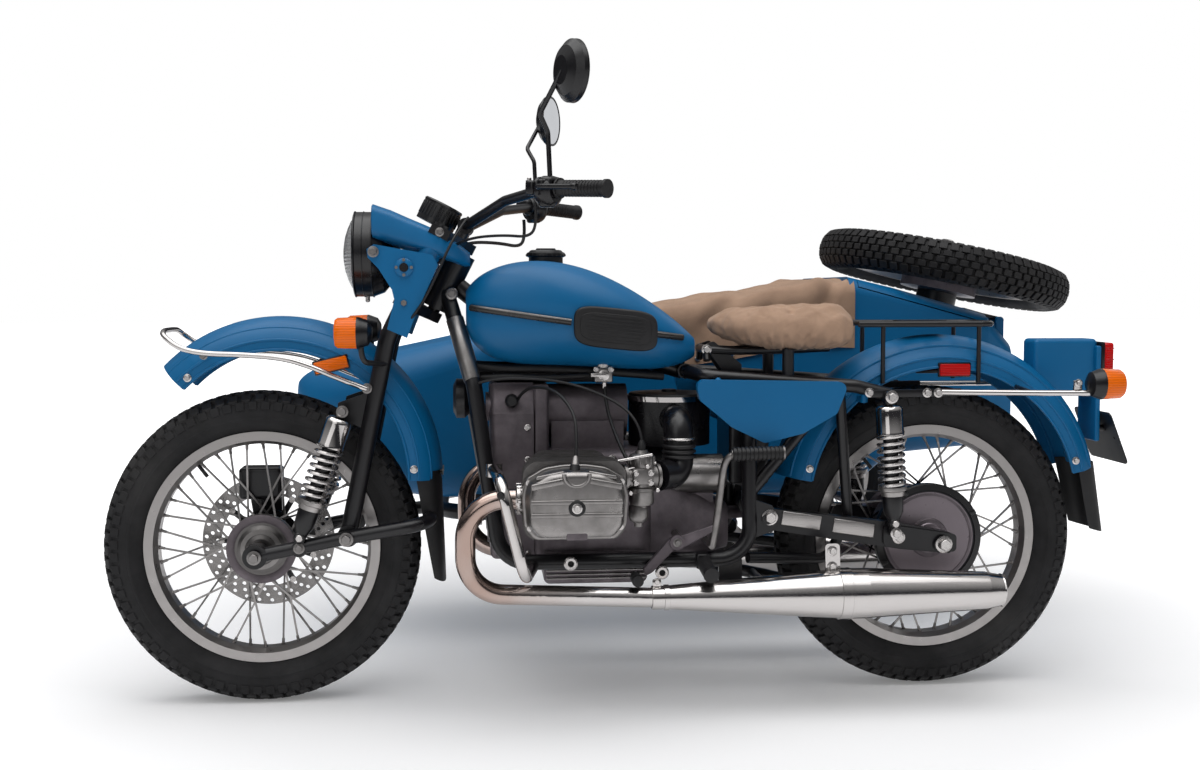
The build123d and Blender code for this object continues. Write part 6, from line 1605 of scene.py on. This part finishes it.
class FootRubbers(bpy.types.Operator):
    """Models the pegs, the gear, kick and brake levers and their ribbed rubbers"""

    bl_idname = "sidecar.foot_rubbers"
    bl_label = "Foot levers"

    def execute(self, context):
        bm = bmesh.new()
        for side in SIDES:
            bar(bm, at(538, side * 145, 322), at(538, side * 268, 312), 12, 2)
            slab(bm, stood(538, side * 160, 322), (30, 20, 34), 5, 2, 3)
        for x, y in ((590, 84), (520, 72)):
            bar(bm, at(x, y, 372 if x == 590 else 356), at(x, 172, 372 if x == 590 else 356), 7.5, 3)
        place = outward(597, 166, 367, 1)
        prism(bm, place, [(-92, 28), (-84, 38), (-12, 15), (14, 10), (74, -58), (68, -72), (54, -66),
                          (6, -16), (-14, -13)], 13, corner=5, edge=2.5, finish=1)
        lathe(bm, place @ moved(0, 0, 0.012), [(0, 0), (17, 0), (16, 7), (0, 7)], 28, 1)
        bolt(bm, place @ Vector((0, 0, 0.018)), LEFT, 12, 3)
        bar(bm, at(690, 172, 298), at(690, 206, 298), 7, 3)
        tube(bm, [(520, 172, 356), (512, 176, 400), (504, 178, 470), (498, 184, 530), (488, 196, 556),
                  (470, 200, 558)], 16, 3)
        bar(bm, at(484, 200, 558), at(374, 200, 560), 11, 3)
        tube(bm, [(600, -84, 372), (600, -160, 372), (612, -173, 364), (680, -178, 304), (694, -186, 296),
                  (700, -212, 294)], 13, 3)
        slab(bm, stood(700, -216, 294), (44, 38, 14), 4, 0, 3)
        rolls = [((538, 176, 320.5), (538, 270, 312), 16), ((538, -176, 320.5), (538, -270, 312), 16),
                 ((482, 200, 558), (372, 200, 560), 15.5), ((690, 202, 298), (690, 248, 298), 12)]
        for start, end, radius in rolls:
            place = facing(at(*start), at(*end) - at(*start))
            length = (at(*end) - at(*start)).length / MM
            ribs = [(0, 0), (radius - 2, 0)]
            count = int(length // 9)
            for step in range(count):
                low = 1 + step * (length - 2) / count
                ribs += [(radius, low + 1), (radius, low + 5.5), (radius - 1.8, low + 6.2),
                         (radius - 1.8, low + 8)]
            lathe(bm, place, ribs + [(radius - 2, length), (0, length)], 28, 0)
            lathe(bm, place, [(0, length - 1), (radius + 0.6, length - 1), (radius, length + 3),
                              (0, length + 4)], 28, 3 if radius == 15.5 else 0)
        piece("foot_levers", bm, "chassis", ["soft_rubber", "case_grey", "frame_black", "zinc"],
              ["foot_controls"])
        return {"FINISHED"}


class SidecarTrim(bpy.types.Operator):
    """Adds the cover's press studs, the sidecar's rail bolts, the lid's catches and the spare wheel's nut"""

    bl_idname = "sidecar.sidecar_trim"
    bl_label = "Sidecar trim"

    def execute(self, context):
        bm = bmesh.new()
        for side in SIDES:
            for x in range(100, 850, 90):
                spot = at(x, SIDECAR_Y + side * 278.5, hem_height(x) + 14)
                lathe(bm, facing(spot, LEFT * side), [(0, 0), (7.5, 0), (7, 2.4), (4, 3.6), (0, 3.8)], 18, 0)
        for x, y in ((190, -455), (1020, -455), (190, -875), (1020, -875)):
            bolt(bm, at(x, y, 318), -UP, 18, 0)
        piece("sidecar_studs", bm, "chassis", ["bright_steel"])
        bm = bmesh.new()
        for side in SIDES:
            slab(bm, stood(-6, SIDECAR_Y + side * 180, 912), (30, 26, 14), 5, 0, 3)
        lathe(bm, wheel_place("spare") @ moved(0, 0, 0.0785),
              [(0, 0), (20, 0), (20, 6), (14, 9), (0, 9)], 6, 0)
        piece("lid_catches", bm, "trunk", ["chrome"])
        return {"FINISHED"}


BAR_ROUTE = (
    (905, 314, 1082), (902, 318, 1044), (914, 300, 1014), (968, 226, 1022), (1040, 112, 1020),
    (1088, 66, 994), (1102, 54, 968),
)
CABLES = {
    # body, diameter in millimetres, stiffness, route in millimetres
    "clutch_cable": ("steering", 6, "stiff", BAR_ROUTE),
    "front_brake_hose": ("steering", 8, "stiff", mirrored(BAR_ROUTE)),
    "lamp_lead": ("steering", 6, "medium", (
        (1040, 62, 1066), (1050, 100, 1052), (1078, 132, 1006), (1104, 138, 946), (1130, 138, 894),
        (1152, 132, 860), (1172, 114, 836))),
    "left_plug_lead": ("chassis", 7, "medium", (
        (827, 345, 576), (824, 336, 612), (828, 306, 664), (862, 226, 702), (906, 150, 704), (930, 104, 684),
        (938, 82, 664))),
    "right_plug_lead": ("chassis", 7, "medium", (
        (791, -345, 576), (788, -336, 612), (802, -306, 664), (846, -226, 702), (902, -150, 704),
        (930, -104, 684), (938, -82, 664))),
    "left_throttle_cable": ("chassis", 6, "stiff", (
        (680, 226, 592), (682, 222, 622), (718, 196, 668), (820, 164, 712), (930, 140, 722), (1004, 122, 716),
        (1022, 112, 708))),
    "fuel_hose": ("chassis", 8, "medium", (
        (745, 84, 712), (744, 87, 676), (736, 118, 626), (716, 184, 566), (700, 214, 536), (690, 222, 524))),
}


class Cables(bpy.types.Operator):
    """Lays the control cables, leads and hose"""

    bl_idname = "sidecar.cables"
    bl_label = "Cables"

    def execute(self, context):
        for name, (body, diameter, stiffness, route) in CABLES.items():
            cable = spline_curve(name, [at(*point) for point in route], diameter * MM)
            cable.data.materials.append(finish("soft_rubber"))
            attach(cable, body)
        return {"FINISHED"}


class Stage(bpy.types.Operator):
    """Sets the camera, the floor and the soft light of the studio"""

    bl_idname = "sidecar.stage"
    bl_label = "Stage"

    def execute(self, context):
        scene = context.scene
        stage = scene.sidecar_stage
        camera = bpy.data.objects.new("camera", bpy.data.cameras.new("camera"))
        camera.data.lens = stage.lens
        camera.data.sensor_width = 36.0
        camera.data.clip_end = 200.0
        yaw, pitch, roll = math.radians(5.23), math.radians(3.79), math.radians(-0.08)
        look = Vector((-math.sin(yaw) * math.cos(pitch), -math.cos(yaw) * math.cos(pitch), -math.sin(pitch)))
        right = look.cross(UP).normalized()
        lift = right.cross(look)
        turned_right = right * math.cos(roll) + lift * math.sin(roll)
        turned_lift = lift * math.cos(roll) - right * math.sin(roll)
        pose = Matrix((turned_right, turned_lift, -look)).transposed().to_4x4()
        camera.matrix_world = stood(1029.8, 3091.88, 901.07) @ pose
        scene.collection.objects.link(camera)
        scene.camera = camera
        bm = bmesh.new()
        bmesh.ops.create_grid(bm, x_segments=1, y_segments=1, size=40.0)
        mesh = bpy.data.meshes.new("floor")
        bm.to_mesh(mesh)
        bm.free()
        floor = bpy.data.objects.new("floor", mesh)
        material, tree, shader = new_material("studio_floor")
        where = tree.nodes.new("ShaderNodeTexCoord").outputs["Object"]
        cloud = add_node(tree, "ShaderNodeTexNoise", Scale=2.0, Detail=2.0)
        tree.links.new(where, cloud.inputs["Vector"])
        tone = mix_colours(tree, cloud.outputs[0], shaded(stage.floor_tone, 0.985),
                           shaded(stage.floor_tone, 1.0))
        tree.links.new(tone, shader.inputs["Base Color"])
        set_inputs(shader, {"Roughness": 0.55, "Specular IOR Level": 0.2,
                            "Emission Color": (1.0, 1.0, 1.0, 1.0)})
        reach = add_node(tree, "ShaderNodeVectorMath", operation="LENGTH")
        tree.links.new(where, reach.inputs[0])
        seen = tree.nodes.new("ShaderNodeLightPath").outputs["Is Camera Ray"]
        far_glow = add_node(tree, "ShaderNodeMath", operation="MULTIPLY")
        tree.links.new(map_range(tree, reach.outputs["Value"], 1.1, 3.6, 0.0, 0.7), far_glow.inputs[0])
        tree.links.new(seen, far_glow.inputs[1])
        glow = add_node(tree, "ShaderNodeMath", operation="ADD")
        tree.links.new(far_glow.outputs[0], glow.inputs[0])
        glow.inputs[1].default_value = stage.floor_glow
        tree.links.new(glow.outputs[0], shader.inputs["Emission Strength"])
        floor.data.materials.append(material)
        scene.collection.objects.link(floor)
        for name, spot, aim, size, power in (
            ("key_box", (900, 300, 3300), (600, -200, 300), (4.2, 2.6), stage.key_power),
            ("fill_box", (2600, 3200, 2300), (800, 0, 500), (2.2, 2.2), stage.fill_power),
            ("rear_box", (-2600, -2600, 2200), (200, -500, 500), (2.4, 2.4), stage.fill_power),
        ):
            lamp = bpy.data.lights.new(name, "AREA")
            lamp.shape = "RECTANGLE"
            lamp.size, lamp.size_y = size
            lamp.energy = power
            box = bpy.data.objects.new(name, lamp)
            aim_line = at(*aim) - at(*spot)
            box.matrix_world = stood(*spot) @ aim_line.to_track_quat("-Z", "Y").to_matrix().to_4x4()
            scene.collection.objects.link(box)
        ceiling = bpy.data.lights.new("ceiling", "SUN")
        ceiling.energy = stage.ceiling_strength
        ceiling.angle = math.radians(70)
        sky_box = bpy.data.objects.new("ceiling", ceiling)
        tilt = Matrix.Rotation(math.radians(-14), 4, "X")
        sky_box.matrix_world = tilt @ Matrix.Rotation(math.radians(8), 4, "Y")
        scene.collection.objects.link(sky_box)
        world = bpy.data.worlds.new("studio")
        world.use_nodes = True
        tree = world.node_tree
        background = tree.nodes["Background"]
        where = tree.nodes.new("ShaderNodeTexCoord").outputs["Generated"]
        split = tree.nodes.new("ShaderNodeSeparateXYZ")
        tree.links.new(where, split.inputs[0])
        lit = map_range(tree, split.outputs["Z"], 0.18, 0.8, 0.0, 1.0)
        sky = mix_colours(tree, lit, (0.03, 0.03, 0.034, 1), (0.5, 0.5, 0.5, 1))
        path = tree.nodes.new("ShaderNodeLightPath")
        tree.links.new(mix_colours(tree, path.outputs["Is Camera Ray"], sky, (1, 1, 1, 1)),
                       background.inputs["Color"])
        background.inputs["Strength"].default_value = 1.0
        scene.world = world
        scene.view_settings.view_transform = "Standard"
        scene.view_settings.look = "None"
        return {"FINISHED"}


STEPS = (
    Stage, FinishFrame, Tyres, WheelDetails, Shocks, Saddle, CockpitCover, Engine, ExhaustDetails,
    TankDetails, FenderDetails, Lamps, BarDetails, Fasteners, FootRubbers, SidecarTrim, Cables,
)


class SidecarPanel(bpy.types.Panel):
    """Lists the pieces of the motorcycle's finish"""

    bl_idname = "VIEW3D_PT_sidecar"
    bl_label = "Sidecar motorcycle"
    bl_space_type = "VIEW_3D"
    bl_region_type = "UI"
    bl_category = "Sidecar"

    def draw(self, context):
        for group in ("sidecar_finish", "sidecar_sizes", "sidecar_stage"):
            settings = getattr(context.scene, group)
            for label in settings.bl_rna.properties.keys():
                if label not in ("rna_type", "name"):
                    self.layout.prop(settings, label)
        for step in STEPS:
            self.layout.operator(step.bl_idname)


CLASSES = (FinishSettings, SizeSettings, StageSettings, *STEPS, SidecarPanel)


def register():
    """Registers the classes and their settings."""
    for kind in CLASSES:
        bpy.utils.register_class(kind)
    bpy.types.Scene.sidecar_finish = PointerProperty(type=FinishSettings)
    bpy.types.Scene.sidecar_sizes = PointerProperty(type=SizeSettings)
    bpy.types.Scene.sidecar_stage = PointerProperty(type=StageSettings)


def unregister():
    """Takes the settings and classes away."""
    del bpy.types.Scene.sidecar_stage
    del bpy.types.Scene.sidecar_sizes
    del bpy.types.Scene.sidecar_finish
    for kind in reversed(CLASSES):
        bpy.utils.unregister_class(kind)


def main():
    """Builds every piece in order."""
    register()
    for step in STEPS:
        group, name = step.bl_idname.split(".")
        getattr(getattr(bpy.ops, group), name)()


if __name__ == "__main__":
    main()
